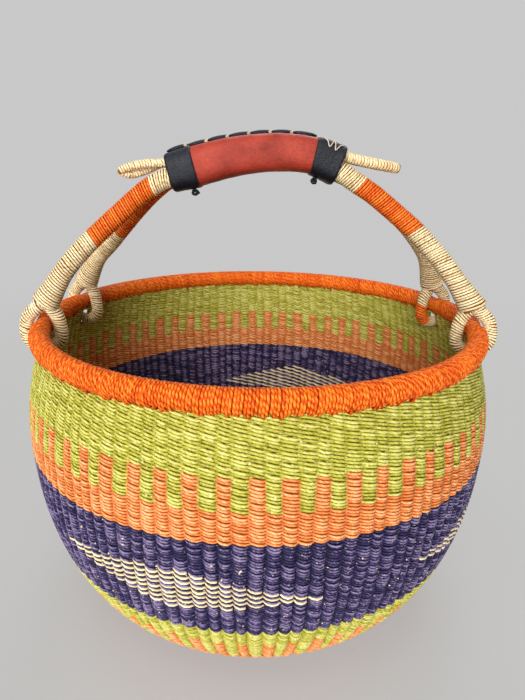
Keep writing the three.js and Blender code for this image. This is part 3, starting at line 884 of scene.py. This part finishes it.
rim_turns = [-360 * i / RIM_STEPS for i in range(RIM_STEPS)]
rim_points = [beside_rim(turn, 0, 0) for turn in rim_turns]
rim_line = line_object("rim_line", rim_points, [rim_radius(turn) for turn in rim_turns], closed=True)
rim_length = sum(math.dist(p, q) for p, q in zip(rim_points, rim_points[1:] + rim_points[:1]))
rim_straws = [grown(f"rim_straw_{seed}", wrapping, {
    "Path": rim_line, "End": rim_length, "Pitch": mm(4.1), "Straw Width": mm(2.5),
    "Straw Thickness": mm(1.7), "Slant": mm(1.5), "Unevenness": mm(0.5), "Fringe": mm(6.5),
    "Phase": phase, "Seed": seed, "Side": (0, 0, 1), "Material": rim_straw,
}) for phase, seed in ((0, 3), (0.5, 4))]
fitted(joined(rim_straws), "basket", "rim_wrapping")
fitted(grown("rim_bundle", bundle, {
    "Path": rim_line, "End": rim_length, "Material": deep_straw,
}), "basket", "rim_core")

# %% [markdown]
# ## The handle's lines
# Two long strands make the arch, one in front of the other, and each ends in a loop that goes
# out over the rim, down, through the wall and up again on the inside. Their lines go smoothly
# through the same places as those of the frame, by a spline that passes through its points.

# %% Smooth lines through points
SPLINE_STEPS = 12
LEAST_GAP = 1e-4


def smooth_line(points):
    """A centripetal spline through points, as a list of points."""
    points = [Vector(p) for p in points]
    whole = [2 * points[0] - points[1], *points, 2 * points[-1] - points[-2]]
    line = []
    for a, b, c, d in zip(whole, whole[1:], whole[2:], whole[3:]):
        gaps = [max((q - p).length ** 0.5, LEAST_GAP) for p, q in ((a, b), (b, c), (c, d))]
        start = ((b - a) / gaps[0] - (c - a) / (gaps[0] + gaps[1])) * gaps[1] + (c - b)
        end = ((d - c) / gaps[2] - (d - b) / (gaps[1] + gaps[2])) * gaps[1] + (c - b)
        for i in range(SPLINE_STEPS):
            t = i / SPLINE_STEPS
            line.append(b + start * t + (3 * (c - b) - 2 * start - end) * t ** 2
                        + (2 * (b - c) + start + end) * t ** 3)
    return line + [points[-1]]


def distances(line):
    """The distance of each point of a line from its start."""
    total = [0]
    for p, q in zip(line, line[1:]):
        total.append(total[-1] + (q - p).length)
    return total


# %% Places of the arch, as shares of its span, of the way out to the foot, and of its rise
ARCH_SPAN = 171
ARCH_RISE = 117.5
FORK = (-5.5, 22)
BELOW_FORK = (-3.7, 19.4)
STRAND_SIDE = mm(9.2)
GRIP_LIFT = mm(4)
GRIP_HEIGHT = RIM_HEIGHT + mm(FORK[1] + ARCH_RISE)
GRIP_SHARES = [(-0.32, -0.091), (-0.175, -0.035), (-0.03, 0), (0.117, 0.011), (0.26, -0.011)]
GRIP_END_SHARES = [(-0.4415, -0.136), (0.379, -0.077)]
LEFT_SHARES = {
    "front": [(-0.94, 0.87, 0.213), (-0.88, 0.7, 0.319), (-0.81, 0.48, 0.424), (-0.675, 0.2, 0.603),
              (-0.55, 0.05, 0.755), (-0.46, 0.01, 0.826)],
    "back": [(-0.92, 0.86, 0.204), (-0.83, 0.64, 0.327), (-0.75, 0.44, 0.447), (-0.655, 0.27, 0.59),
             (-0.555, 0.09, 0.723), (-0.455, 0.01, 0.827)],
}
RIGHT_SHARES = {
    "front": [(0.385, 0.01, 0.887), (0.455, 0.03, 0.82), (0.55, 0.08, 0.736), (0.68, 0.17, 0.59),
              (0.765, 0.3, 0.488), (0.85, 0.5, 0.36), (0.92, 0.72, 0.24)],
    "back": [(0.37, 0.01, 0.892), (0.465, 0.06, 0.834), (0.555, 0.17, 0.755), (0.645, 0.28, 0.662),
             (0.76, 0.43, 0.538), (0.86, 0.63, 0.397), (0.945, 0.82, 0.24)],
}


def arch_line(place):
    """The line of one strand, from just below its left fork to just below its right fork."""
    rest = -STRAND_SIDE if place == "front" else STRAND_SIDE
    left, right = FEET[place + "_left"], FEET[place + "_right"]
    ends = [beside_rim(turn, *FORK) for turn in (left, right)]

    def spread(foot, share):
        across, out, up = share
        return Vector((mm(across * ARCH_SPAN), rest + (foot.y - rest) * out, foot.z + mm(up * ARCH_RISE)))

    middle = [Vector((mm(a * ARCH_SPAN), rest, GRIP_HEIGHT - GRIP_LIFT + mm(u * ARCH_RISE)))
              for a, u in GRIP_SHARES]
    return smooth_line([
        beside_rim(left, *BELOW_FORK), ends[0], *[spread(ends[0], s) for s in LEFT_SHARES[place]], *middle,
        *[spread(ends[1], s) for s in RIGHT_SHARES[place]], ends[1], beside_rim(right, *BELOW_FORK),
    ])


# %% Places of a loop, outwards and up from the rim's middle in mm
OUTER_LEG = [(-0.3, 19.4), (3.9, 15.2), (8.4, 11.2), (11.8, 6.2), (13.2, -0.6), (13.6, -7.4), (10.2, -14.6)]
THROUGH_WALL = [(2, -18.3), (-6.8, -17.8)]
INNER_LEG = [(-12.8, -12.8), (-14, -3.6), (-12.6, 6.2), (-9, 14.2)]


def loop_line(turn):
    """The line of one foot's loop, from the fork round the rim and back to the fork."""
    places = [FORK, *OUTER_LEG, *THROUGH_WALL, *INNER_LEG, FORK]
    return smooth_line([beside_rim(turn, *place) for place in places])


# %% [markdown]
# ## The strands and their loops
# Every strand is wrapped in natural straw, then orange, then natural again under the leather.
# The wrapping changes colour at four places that differ a little from limb to limb, as on the
# real basket. The loops are thinner, and thinnest where they go through the wall. Where the two
# legs of a loop meet, the last turns of the strand go round both.

# %% Sizes of the strands and the loops
STRAND_RADIUS = mm(7.7)
FORK_RADIUS = mm(11.2)
FORK_LENGTH = mm(30)
LEG_RADIUS = mm(4.9)
LEG_SWELL, SWELL_LENGTH = mm(0.8), mm(24)
SLOT_THINNING, THINNING_LENGTH = mm(0.8), mm(14)
LEG_START = mm(4)
NATURAL = {"front_left": 67.5, "front_right": 80.5, "back_left": 75.5, "back_right": 78.5}
ORANGE = {"front_left": 66, "front_right": 60, "back_left": 78, "back_right": 52}
ORANGE_END_SHARES = (0.6, 0.78)


def wound(name, line, start, end, material, seed):
    return grown(name, wrapping, {
        "Path": line, "Start": start, "End": end, "Pitch": mm(2.25), "Lean": mm(2.2),
        "Seed": seed, "Side": (0, 1, 0), "Material": material,
    })


def cored(name, line, length):
    return grown(name, bundle, {"Path": line, "End": length, "Material": core_grass})


def leg_radius(distance, length):
    """A loop's radius: more towards the fork at both ends, less in the wall at its middle."""
    fork = max(0, 1 - min(distance, length - distance) / SWELL_LENGTH)
    wall = max(0, 1 - abs(distance - length / 2) / THINNING_LENGTH)
    return LEG_RADIUS + LEG_SWELL * fork - SLOT_THINNING * wall


# %% Wrap the strands and the loops
for place in ("front", "back"):
    arch = arch_line(place)
    along = distances(arch)
    length = along[-1]
    swell = [max(0, 1 - min(d, length - d) / FORK_LENGTH) ** 1.5 for d in along]
    radii = [STRAND_RADIUS + (FORK_RADIUS - STRAND_RADIUS) * share for share in swell]
    strand_line = line_object(place + "_strand_line", arch, radii)
    tops = []
    cores = [cored(place + "_strand_bundle", strand_line, length)]
    for number, side in enumerate(("left", "right")):
        foot = f"{place}_{side}"
        loop = loop_line(FEET[foot])
        loop_length = distances(loop)[-1]
        leg_radii = [leg_radius(d, loop_length) for d in distances(loop)]
        leg_line = line_object(foot + "_loop_line", loop, leg_radii)
        cores.append(cored(foot + "_loop_bundle", leg_line, loop_length))
        natural, orange = mm(NATURAL[foot]), mm(ORANGE[foot])
        tops.append(natural + orange)
        seed = 10 + 5 * number + (20 if place == "back" else 0)
        spans = [(0, natural), (natural, natural + orange)]
        if side == "right":
            spans = [(length - b, length - a) for a, b in spans]
        parts = [wound(foot + "_straw", strand_line, *spans[0], natural_straw, seed)]
        legs = [(LEG_START, loop_length - LEG_START)]
        if foot == "back_right":
            first, last = (share * loop_length for share in ORANGE_END_SHARES)
            legs = [(LEG_START, first), (last, loop_length - LEG_START)]
            fitted(wound(foot + "_end_straw", leg_line, first, last, orange_straw, seed + 3), "handle",
                   foot + "_foot_end_wrapping")
        parts += [wound(foot + "_leg", leg_line, a, b, natural_straw, seed + 1) for a, b in legs]
        fitted(joined(parts), "handle", foot + "_foot_wrapping")
        fitted(wound(foot + "_orange_straw", strand_line, *spans[1], orange_straw, seed + 2), "handle",
               foot + "_orange_wrapping")
    fitted(wound(place + "_top_straw", strand_line, tops[0], length - tops[1], natural_straw, 7), "handle",
           place + "_top_wrapping")
    fitted(joined(cores), "handle", place + "_strand_core")

# %% [markdown]
# ## The leather
# A sheet of red leather is laced round both strands in the middle, and a black cuff is sewn
# over each of its ends. The third tree makes such a sleeve: it lays a cylinder along the grip's
# line, gives it a rounded box as its section, and draws the first and the last ring back inside,
# which leaves a lip with a dark recess behind it, where the strands come out.

# %% The tree of a leather sleeve
SLEEVE_SIDES = 72
SLEEVE_RINGS = 60
BOX_POWER = 3.4
TUCK, TUCK_DEPTH = mm(4), mm(1.8)
LIP_LENGTH, LIP_DEPTH = mm(1.4), mm(0.7)
CREASE_GRAIN = 14
CREASE_SIZE, FINE_CREASE_SIZE, FINE_CREASE_SHARE = 0.09, 0.35, 0.35
CREASE_SEED_STEP = 31.0


def sleeve_tree():
    tree, given, out = new_group("Sleeve", "GeometryNodeTree", [
        ("Path", OBJECT, None), ("Start", FLOAT, 0.0), ("End", FLOAT, 0.1), ("Depth", FLOAT, mm(20)),
        ("First Height", FLOAT, mm(15)), ("Last Height", FLOAT, mm(15)), ("Wrinkles", FLOAT, mm(0.5)),
        ("Seed", WHOLE, 0), ("Material", MATERIAL, None),
    ])
    skin = add(tree, "GeometryNodeMeshCylinder", {
        "Vertices": SLEEVE_SIDES, "Side Segments": SLEEVE_RINGS, "Radius": 1.0, "Depth": 1.0,
    }, fill_type="NGON")
    spot = separate(add(tree, "GeometryNodeInputPosition"))
    ring = (spot[2] + 0.5) * SLEEVE_RINGS
    share = clamped((ring - 1) / (SLEEVE_RINGS - 2))
    is_end = at_least(ring < 0.5, ring > SLEEVE_RINGS - 0.5)
    run = given["End"] - given["Start"]
    along = (0.5 - share) * 2 * is_end * TUCK + (share * run + given["Start"])
    sample = sampled(line_of(given["Path"]), along)

    # The lip at both ends, and creases that run round and along.
    edge = at_most(share, 1 - share) * run
    lip = is_end * TUCK_DEPTH + (1 - at_most(edge / LIP_LENGTH, 1)) * LIP_DEPTH
    worn = combine(along * 1000, spot[0] * CREASE_GRAIN, spot[1] * CREASE_GRAIN)
    worn = worn + combine(0.0, 0.0, given["Seed"] * CREASE_SEED_STEP)
    crease = noise(worn, CREASE_SIZE, 2.0) + noise(worn, FINE_CREASE_SIZE, 1.0) * FINE_CREASE_SHARE
    crease = crease * given["Wrinkles"]
    swell = crease - lip

    # A rounded box: the sign and a power of the circle's own coordinates.
    def bent(value):
        return abs(value) ** (2 / BOX_POWER) * calc("SIGN", value)

    tall = share * (given["Last Height"] - given["First Height"]) + given["First Height"]
    across = bent(spot[0]) * (given["Depth"] + swell)
    up = calc("CROSS_PRODUCT", sample["Tangent"], (0, 1, 0))
    place = sample + combine(0.0, across, 0.0) + up * (bent(spot[1]) * (tall + swell))
    return dressed(moved(skin, place), given["Material"], out)


sleeve = sleeve_tree()
print("sleeve:", len(sleeve.nodes), "nodes")

# %% [markdown]
# Leather has a fine grain of small cells, soft patches where the dye took more or less, and it
# is smoother where it is worn. A second shader group gives those, and both leathers use it.


# %% The leather materials
LEATHER_PATCHES, LEATHER_GRAIN, LEATHER_CELLS = 60.0, 420.0, 750.0
PATCH_TONE, GRAIN_TONE, GROOVE_TONE, TONE_DROP = 1.3, 0.5, 0.18, 0.12
GROOVE_EDGE, GRAIN_HEIGHT, WORN_SMOOTH = 6, 0.6, -0.3


def leather_group():
    tree, given, out = new_group("Leather", "ShaderNodeTree", [
        ("Dark", COLOR, (0, 0, 0, 1)), ("Light", COLOR, (1, 1, 1, 1)),
    ], [("Color", COLOR), ("Roughness", FLOAT), ("Height", FLOAT)])
    place = add(tree, "ShaderNodeTexCoord", out="Object")
    patch = noise(place, LEATHER_PATCHES, 4.0)
    fine = noise(place, LEATHER_GRAIN, 3.0)
    cells = add(tree, "ShaderNodeTexVoronoi", {"Vector": place, "Scale": LEATHER_CELLS},
                out="Distance", feature="DISTANCE_TO_EDGE")
    groove = at_most(cells * GROOVE_EDGE, 1)
    tone = patch * PATCH_TONE + (fine * GRAIN_TONE + 0.5) - TONE_DROP + groove * GROOVE_TONE
    put_out(out, {"Color": blend(tone, given["Dark"], given["Light"]),
                  "Roughness": patch * WORN_SMOOTH + 0.5, "Height": fine * GRAIN_HEIGHT + groove})
    return tree


leather = leather_group()


def leather_material(name, dark, light, gloss=0.5):
    def build(tree):
        group = add(tree, "ShaderNodeGroup", {"Dark": dark, "Light": light}, node_tree=leather)
        return group, group["Roughness"], group["Height"]

    return finished_material(name, build, gloss, 0.5, mm(0.2))


red_leather = leather_material("red_leather", linear(112, 30, 20), linear(186, 68, 48), 0.22)
black_leather = leather_material("black_leather", linear(4, 5, 9), linear(17, 20, 34), 0.3)
cut_edge = leather_material("cut_edge", linear(176, 160, 136), linear(226, 214, 192))

# %% Cover the grip
grip_shares = [GRIP_END_SHARES[0], *GRIP_SHARES, GRIP_END_SHARES[1]]
grip = smooth_line([(mm(a * ARCH_SPAN), 0, GRIP_HEIGHT + mm(u * ARCH_RISE)) for a, u in grip_shares])
grip_along = distances(grip)
grip_length = grip_along[-1]
grip_line = line_object("grip_line", grip)
LEFT_SEAM, RIGHT_SEAM = mm(22.5), mm(120.5)
LAP = mm(2)
CUFF_END = mm(0.3)
CUFF_DEPTH = 21.2
SLEEVES = [
    # piece, node, start, end, depth, first and last height and wrinkles in mm, and its leather
    ("red_grip", "red_leather_grip", LEFT_SEAM - LAP, RIGHT_SEAM + LAP, 20.2, 16.2, 14.3, 1.0, red_leather),
    ("left_cuff", "left_leather_cuff", CUFF_END, LEFT_SEAM, CUFF_DEPTH, 15.8, 17.2, 0.9, black_leather),
    ("right_cuff", "right_leather_cuff", RIGHT_SEAM, grip_length - CUFF_END, CUFF_DEPTH, 15.3, 16.4, 0.9,
     black_leather),
]

for number, (name, node, start, end, depth, first, last, wrinkles, material) in enumerate(SLEEVES):
    fitted(grown(name, sleeve, {
        "Path": grip_line, "Start": start, "End": end, "Depth": mm(depth), "First Height": mm(first),
        "Last Height": mm(last), "Wrinkles": mm(wrinkles), "Seed": number + 1, "Material": material,
    }), "handle", node)


def over_grip(distance, up, sideways=0.0):
    """A point off the grip's line at a distance along it: up across its slope, and sideways."""
    i = max(k for k, d in enumerate(grip_along[:-1]) if d <= max(distance, 0))
    step = grip[i + 1] - grip[i]
    along = step.normalized()
    base = grip[i] + step * ((distance - grip_along[i]) / step.length)
    return base + Vector((-along.z * up, sideways, along.x * up))


# %% [markdown]
# ## The ears
# Behind each cuff the end of a rope stands out as a small loop, or ear: an upright one on the
# left, and a flat one on the right. They are wrapped like the strands, with a coarser straw
# that slants, so that they look almost plaited.

# %% Wrap the ears
EAR_RISE = mm(8.8)
EAR_SIDE = mm(4.4)
EAR_SEED = 50
EARS = {
    # thickness in mm, then where its ends lie along the grip and its places outside, as shares of
    # the grip's length and of the arch's span and rise, with the way sideways in mm
    "left": (2.8, (0.16, 0.0), [(-0.57, -0.15, -4.4), (-0.65, -0.176, -2.6), (-0.685, -0.2, 0.3),
                                (-0.65, -0.222, 3.0), (-0.57, -0.194, 4.3), (-0.5, -0.15, 4.3)]),
    "right": (3.6, (0.84, 1.0), [(0.505, -0.117, -5.98), (0.61, -0.144, -5.46), (0.664, -0.157, 0),
                                 (0.61, -0.144, 5.46), (0.505, -0.117, 5.98)]),
}
ears = []
for side, (thickness, shares, places) in EARS.items():
    inside = [
        [over_grip(share * grip_length, EAR_RISE, EAR_SIDE * way) for share in shares] for way in (-1, 1)
    ]
    outside = [(mm(a * ARCH_SPAN), mm(y), GRIP_HEIGHT + mm(u * ARCH_RISE) + EAR_RISE) for a, u, y in places]
    line = smooth_line([*inside[0], *outside, *reversed(inside[1])])
    ear_line = line_object(side + "_ear_line", line, [mm(thickness)] * len(line))
    ear_length = distances(line)[-1]
    ears.append(grown(side + "_ear_straw", wrapping, {
        "Path": ear_line, "End": ear_length, "Pitch": mm(2.3), "Straw Width": mm(2.9),
        "Straw Thickness": mm(1.6), "Lean": mm(1.6), "Seed": EAR_SEED, "Side": (0, 0, 1),
        "Material": natural_straw,
    }))
    ears.append(grown(side + "_ear_bundle", bundle,
                      {"Path": ear_line, "End": ear_length, "Material": natural_straw}))
fitted(joined(ears), "handle", "ear_rope")

# %% [markdown]
# ## Lace, thongs and thread
# A flat black thong is laced along the top of the grip: each stitch is a pointed lens that lies
# a little askew over the next, with the pale cut edge of the leather showing between them. The
# stitches are one small shape, set out along the grip's line by a tree. The thong's two ends
# hang in small knots below the cuffs, and pale thread was sewn to and fro over the right one.


# %% The tree of the lace
def lace_tree():
    tree, given, out = new_group("Lace", "GeometryNodeTree", [
        ("Path", OBJECT, None), ("Count", WHOLE, 7), ("First", FLOAT, mm(10)), ("Pitch", FLOAT, mm(18)),
        ("Askew", FLOAT, 0.16), ("Size", ARROW, (1, 1, 1)), ("Material", MATERIAL, None),
    ])
    along = add(tree, "GeometryNodeInputIndex") * given["Pitch"] + given["First"]
    sample = sampled(line_of(given["Path"]), along)
    spots = moved(add(tree, "GeometryNodeMeshLine", {"Count": given["Count"]}), sample)
    stitch = add(tree, "GeometryNodeMeshUVSphere", {"Segments": 20, "Rings": 12, "Radius": 1.0})
    slope = separate(sample["Tangent"])
    pitch = calc("ARCTAN2", -slope[2], slope[0])
    turn = add(tree, "FunctionNodeEulerToRotation", {0: combine(0.0, pitch, 0.0)})
    skew = add(tree, "FunctionNodeEulerToRotation", {0: combine(0.0, 0.0, given["Askew"])})
    turn = add(tree, "FunctionNodeRotateRotation", {"Rotation": turn, "Rotate By": skew},
               rotation_space="LOCAL")
    laid = add(tree, "GeometryNodeInstanceOnPoints", {
        "Points": spots, "Instance": stitch, "Rotation": turn, "Scale": given["Size"],
    })
    return dressed(laid, given["Material"], out)


lace = lace_tree()

# %% Lace the grip
LACE_STEPS = 60
LACE_LIFT, LACE_SIDE = mm(0.6), mm(-2.2)
LACE_FIRST, LACE_PITCH = mm(12), mm(17.6)
TOP_HEIGHTS = [(0, 16.2), (22, 17.4), (24, 16.5), (60, 15.6), (120, 14.7), (122, 15.6),
               (grip_length * 1000, 16.8)]


def leather_top(distance):
    """The height of the leather's top above the grip's line at a distance, in metres."""
    for (a, low), (b, high) in zip(TOP_HEIGHTS, TOP_HEIGHTS[1:]):
        if distance * 1000 <= b:
            return mm(low + (high - low) * (distance * 1000 - a) / (b - a))
    return mm(TOP_HEIGHTS[-1][1])


def laced(name, count, first, size, askew, material):
    return grown(name, lace, {"Path": lace_line, "Count": count, "First": first, "Pitch": LACE_PITCH,
                              "Size": [mm(length) for length in size], "Askew": askew, "Material": material})


steps = [grip_length * i / LACE_STEPS for i in range(LACE_STEPS + 1)]
lace_line = line_object("lace_line", [over_grip(d, leather_top(d) + LACE_LIFT, LACE_SIDE) for d in steps])
fitted(joined([
    laced("lace", 7, LACE_FIRST, (10.4, 4.2, 2.1), 0.13, black_leather),
    laced("lace_edges", 6, LACE_FIRST + LACE_PITCH / 2, (5.5, 0.35, 1.8), 0.85, cut_edge),
]), "handle", "grip_lace")

# %% Thong ends and thread
KNOT_RADIUS, THREAD_RADIUS = mm(1.35), mm(0.5)
KNOT_SIDE, KNOT_STEP = -8, 0.6
KNOT = [(-1, 1.5), (0.5, -1), (2, -3), (0.3, -4.6), (-2, -3.4), (-1, -1.6), (1.4, -2.2), (2.6, -4.8)]
LEFT_KNOT, RIGHT_KNOT = (LEFT_SEAM * 0.72, 16.6), (RIGHT_SEAM + mm(8), 15.6)
CUFF_HEIGHT = 15.9
THREAD_LIFT, THREAD_SIDE = 0.5, 0.3
THREAD = [(3, -13), (6, -17), (8.5, -20.2), (10, -16.5), (10.5, -13), (12, -17), (13.5, -20.4), (16, -17),
          (18.5, -14)]


def cord(name, line, radius, material):
    """A plain cord along a line of points."""
    path = line_object(name + "_line", line, [radius] * len(line))
    return grown(name, bundle, {"Path": path, "End": distances(line)[-1], "Material": material})


def knot(distance, height):
    """The end of the thong: down out of the cuff, once round itself, and a short tail."""
    return smooth_line([over_grip(distance + mm(x), mm(y) - mm(height), mm(KNOT_SIDE + KNOT_STEP * i))
                        for i, (x, y) in enumerate(KNOT)])


def on_cuff(x, side):
    """A point on the right cuff's skin: along it from its seam, and sideways, in millimetres."""
    up = CUFF_HEIGHT * (1 - abs(side / CUFF_DEPTH) ** BOX_POWER) ** (1 / BOX_POWER)
    return over_grip(RIGHT_SEAM + mm(x), mm(up + THREAD_LIFT), mm(side - THREAD_SIDE))


left_end, right_end = knot(*LEFT_KNOT), knot(*RIGHT_KNOT)
thread = smooth_line([on_cuff(x, side) for x, side in THREAD])
fitted(cord("left_knot", left_end, KNOT_RADIUS, black_leather), "handle", "left_thong")
fitted(cord("right_knot", right_end, KNOT_RADIUS, black_leather), "handle", "right_thong")
fitted(cord("cuff_thread", thread, THREAD_RADIUS, cut_edge), "handle", "right_cuff_thread")

# %% [markdown]
# ## Camera, light and floor
# The camera stands where the photographer stood: close to the basket, a little above the rim and
# looking down, so that near things look large. A pale floor and a wide soft light stay out of
# the way of the colours. The main lamp stands far off, so that the back of the basket gets
# almost as much of it as the front.

# %% Camera
FOCAL_SHARE = 526 / 700
SENSOR_HEIGHT = 36
CAMERA_PLACE = (0, mm(-467.4), mm(378.1))
CAMERA_TURN, CAMERA_TILT, CAMERA_ROLL = -0.007, 0.3235, 0.0124
camera_data = bpy.data.cameras.new("camera")
camera_data.sensor_fit = "VERTICAL"
camera_data.sensor_height = SENSOR_HEIGHT
camera_data.lens = FOCAL_SHARE * SENSOR_HEIGHT
camera = bpy.data.objects.new("camera", camera_data)
camera.matrix_world = (
    Matrix.Translation(CAMERA_PLACE)
    @ Matrix.Rotation(CAMERA_TURN, 4, "Z")
    @ Matrix.Rotation(math.pi / 2 - CAMERA_TILT, 4, "X")
    @ Matrix.Rotation(CAMERA_ROLL, 4, "Z")
)
scene = bpy.context.scene
scene.collection.objects.link(camera)
scene.camera = camera

# %% Light
BACKDROP = (0.58, 0.58, 0.58, 1)
SKY_LIGHT = (0.18, 0.18, 0.18, 1)
AIM = Vector((0, 0, mm(150)))


def plainly_seen(tree):
    """1 where the camera sees a surface straight on, or in a mirror or through glass."""
    rays = add(tree, "ShaderNodeLightPath", out="Is Camera Ray")
    return at_least(rays, at_least(rays["Is Glossy Ray"], rays["Is Transmission Ray"]))


def lamp(name, place, size, power):
    data = bpy.data.lights.new(name, "AREA")
    data.size = size
    data.energy = power
    light = bpy.data.objects.new(name, data)
    light.location = place
    light.rotation_euler = (AIM - Vector(place)).to_track_quat("-Z", "Y").to_euler()
    scene.collection.objects.link(light)


scene.view_settings.view_transform = "Standard"
world = bpy.data.worlds.new("world")
scene.world = world
world.use_nodes = True
sky = blend(plainly_seen(world.node_tree), SKY_LIGHT, BACKDROP)
background = world.node_tree.nodes["Background"].inputs
world.node_tree.links.new(sky.socket, background["Color"])
background["Strength"].default_value = 1

lamp("key", (-1.1, -5.6, 2.0), 3.4, 440)
lamp("top", (-0.2, -0.7, 2.2), 1.4, 16)
lamp("back", (0.4, 2.0, 1.6), 1.6, 20)

# %% [markdown]
# The floor shows the backdrop's colour, part of it by its own light: about half of it under the
# basket, so that its shadow stays, and all of it further out, so that no edge shows behind.

# %% Floor
FLOOR_HALF = 20
FLOOR_COLOR = (0.55, 0.545, 0.53, 1)
PLAIN_SHARE = 0.55
NEAR, FADE = 0.3, 1.2
corners = [(-FLOOR_HALF, -FLOOR_HALF, 0), (FLOOR_HALF, -FLOOR_HALF, 0), (FLOOR_HALF, FLOOR_HALF, 0),
           (-FLOOR_HALF, FLOOR_HALF, 0)]
floor_mesh = bpy.data.meshes.new("floor")
floor_mesh.from_pydata(corners, [], [(0, 1, 2, 3)])
floor = bpy.data.objects.new("floor", floor_mesh)
scene.collection.objects.link(floor)
floor_material = bpy.data.materials.new("floor")
floor_material.use_nodes = True
tree = floor_material.node_tree
lit = tree.nodes["Principled BSDF"]
lit.inputs["Base Color"].default_value = FLOOR_COLOR
plain = add(tree, "ShaderNodeEmission", {"Color": BACKDROP})
spread = clamped((calc("LENGTH", add(tree, "ShaderNodeTexCoord", out="Object")) - NEAR) / FADE)
share = plainly_seen(tree) * (spread * (1 - PLAIN_SHARE) + PLAIN_SHARE)
even = add(tree, "ShaderNodeMixShader", {0: share, 1: Field(lit.outputs[0]), 2: plain})
tree.links.new(even.socket, tree.nodes["Material Output"].inputs["Surface"])
floor_mesh.materials.append(floor_material)

# %% [markdown]
# ## Finish
# The guide lines go.

# %% Finish
for line in guides:
    bpy.data.objects.remove(line)
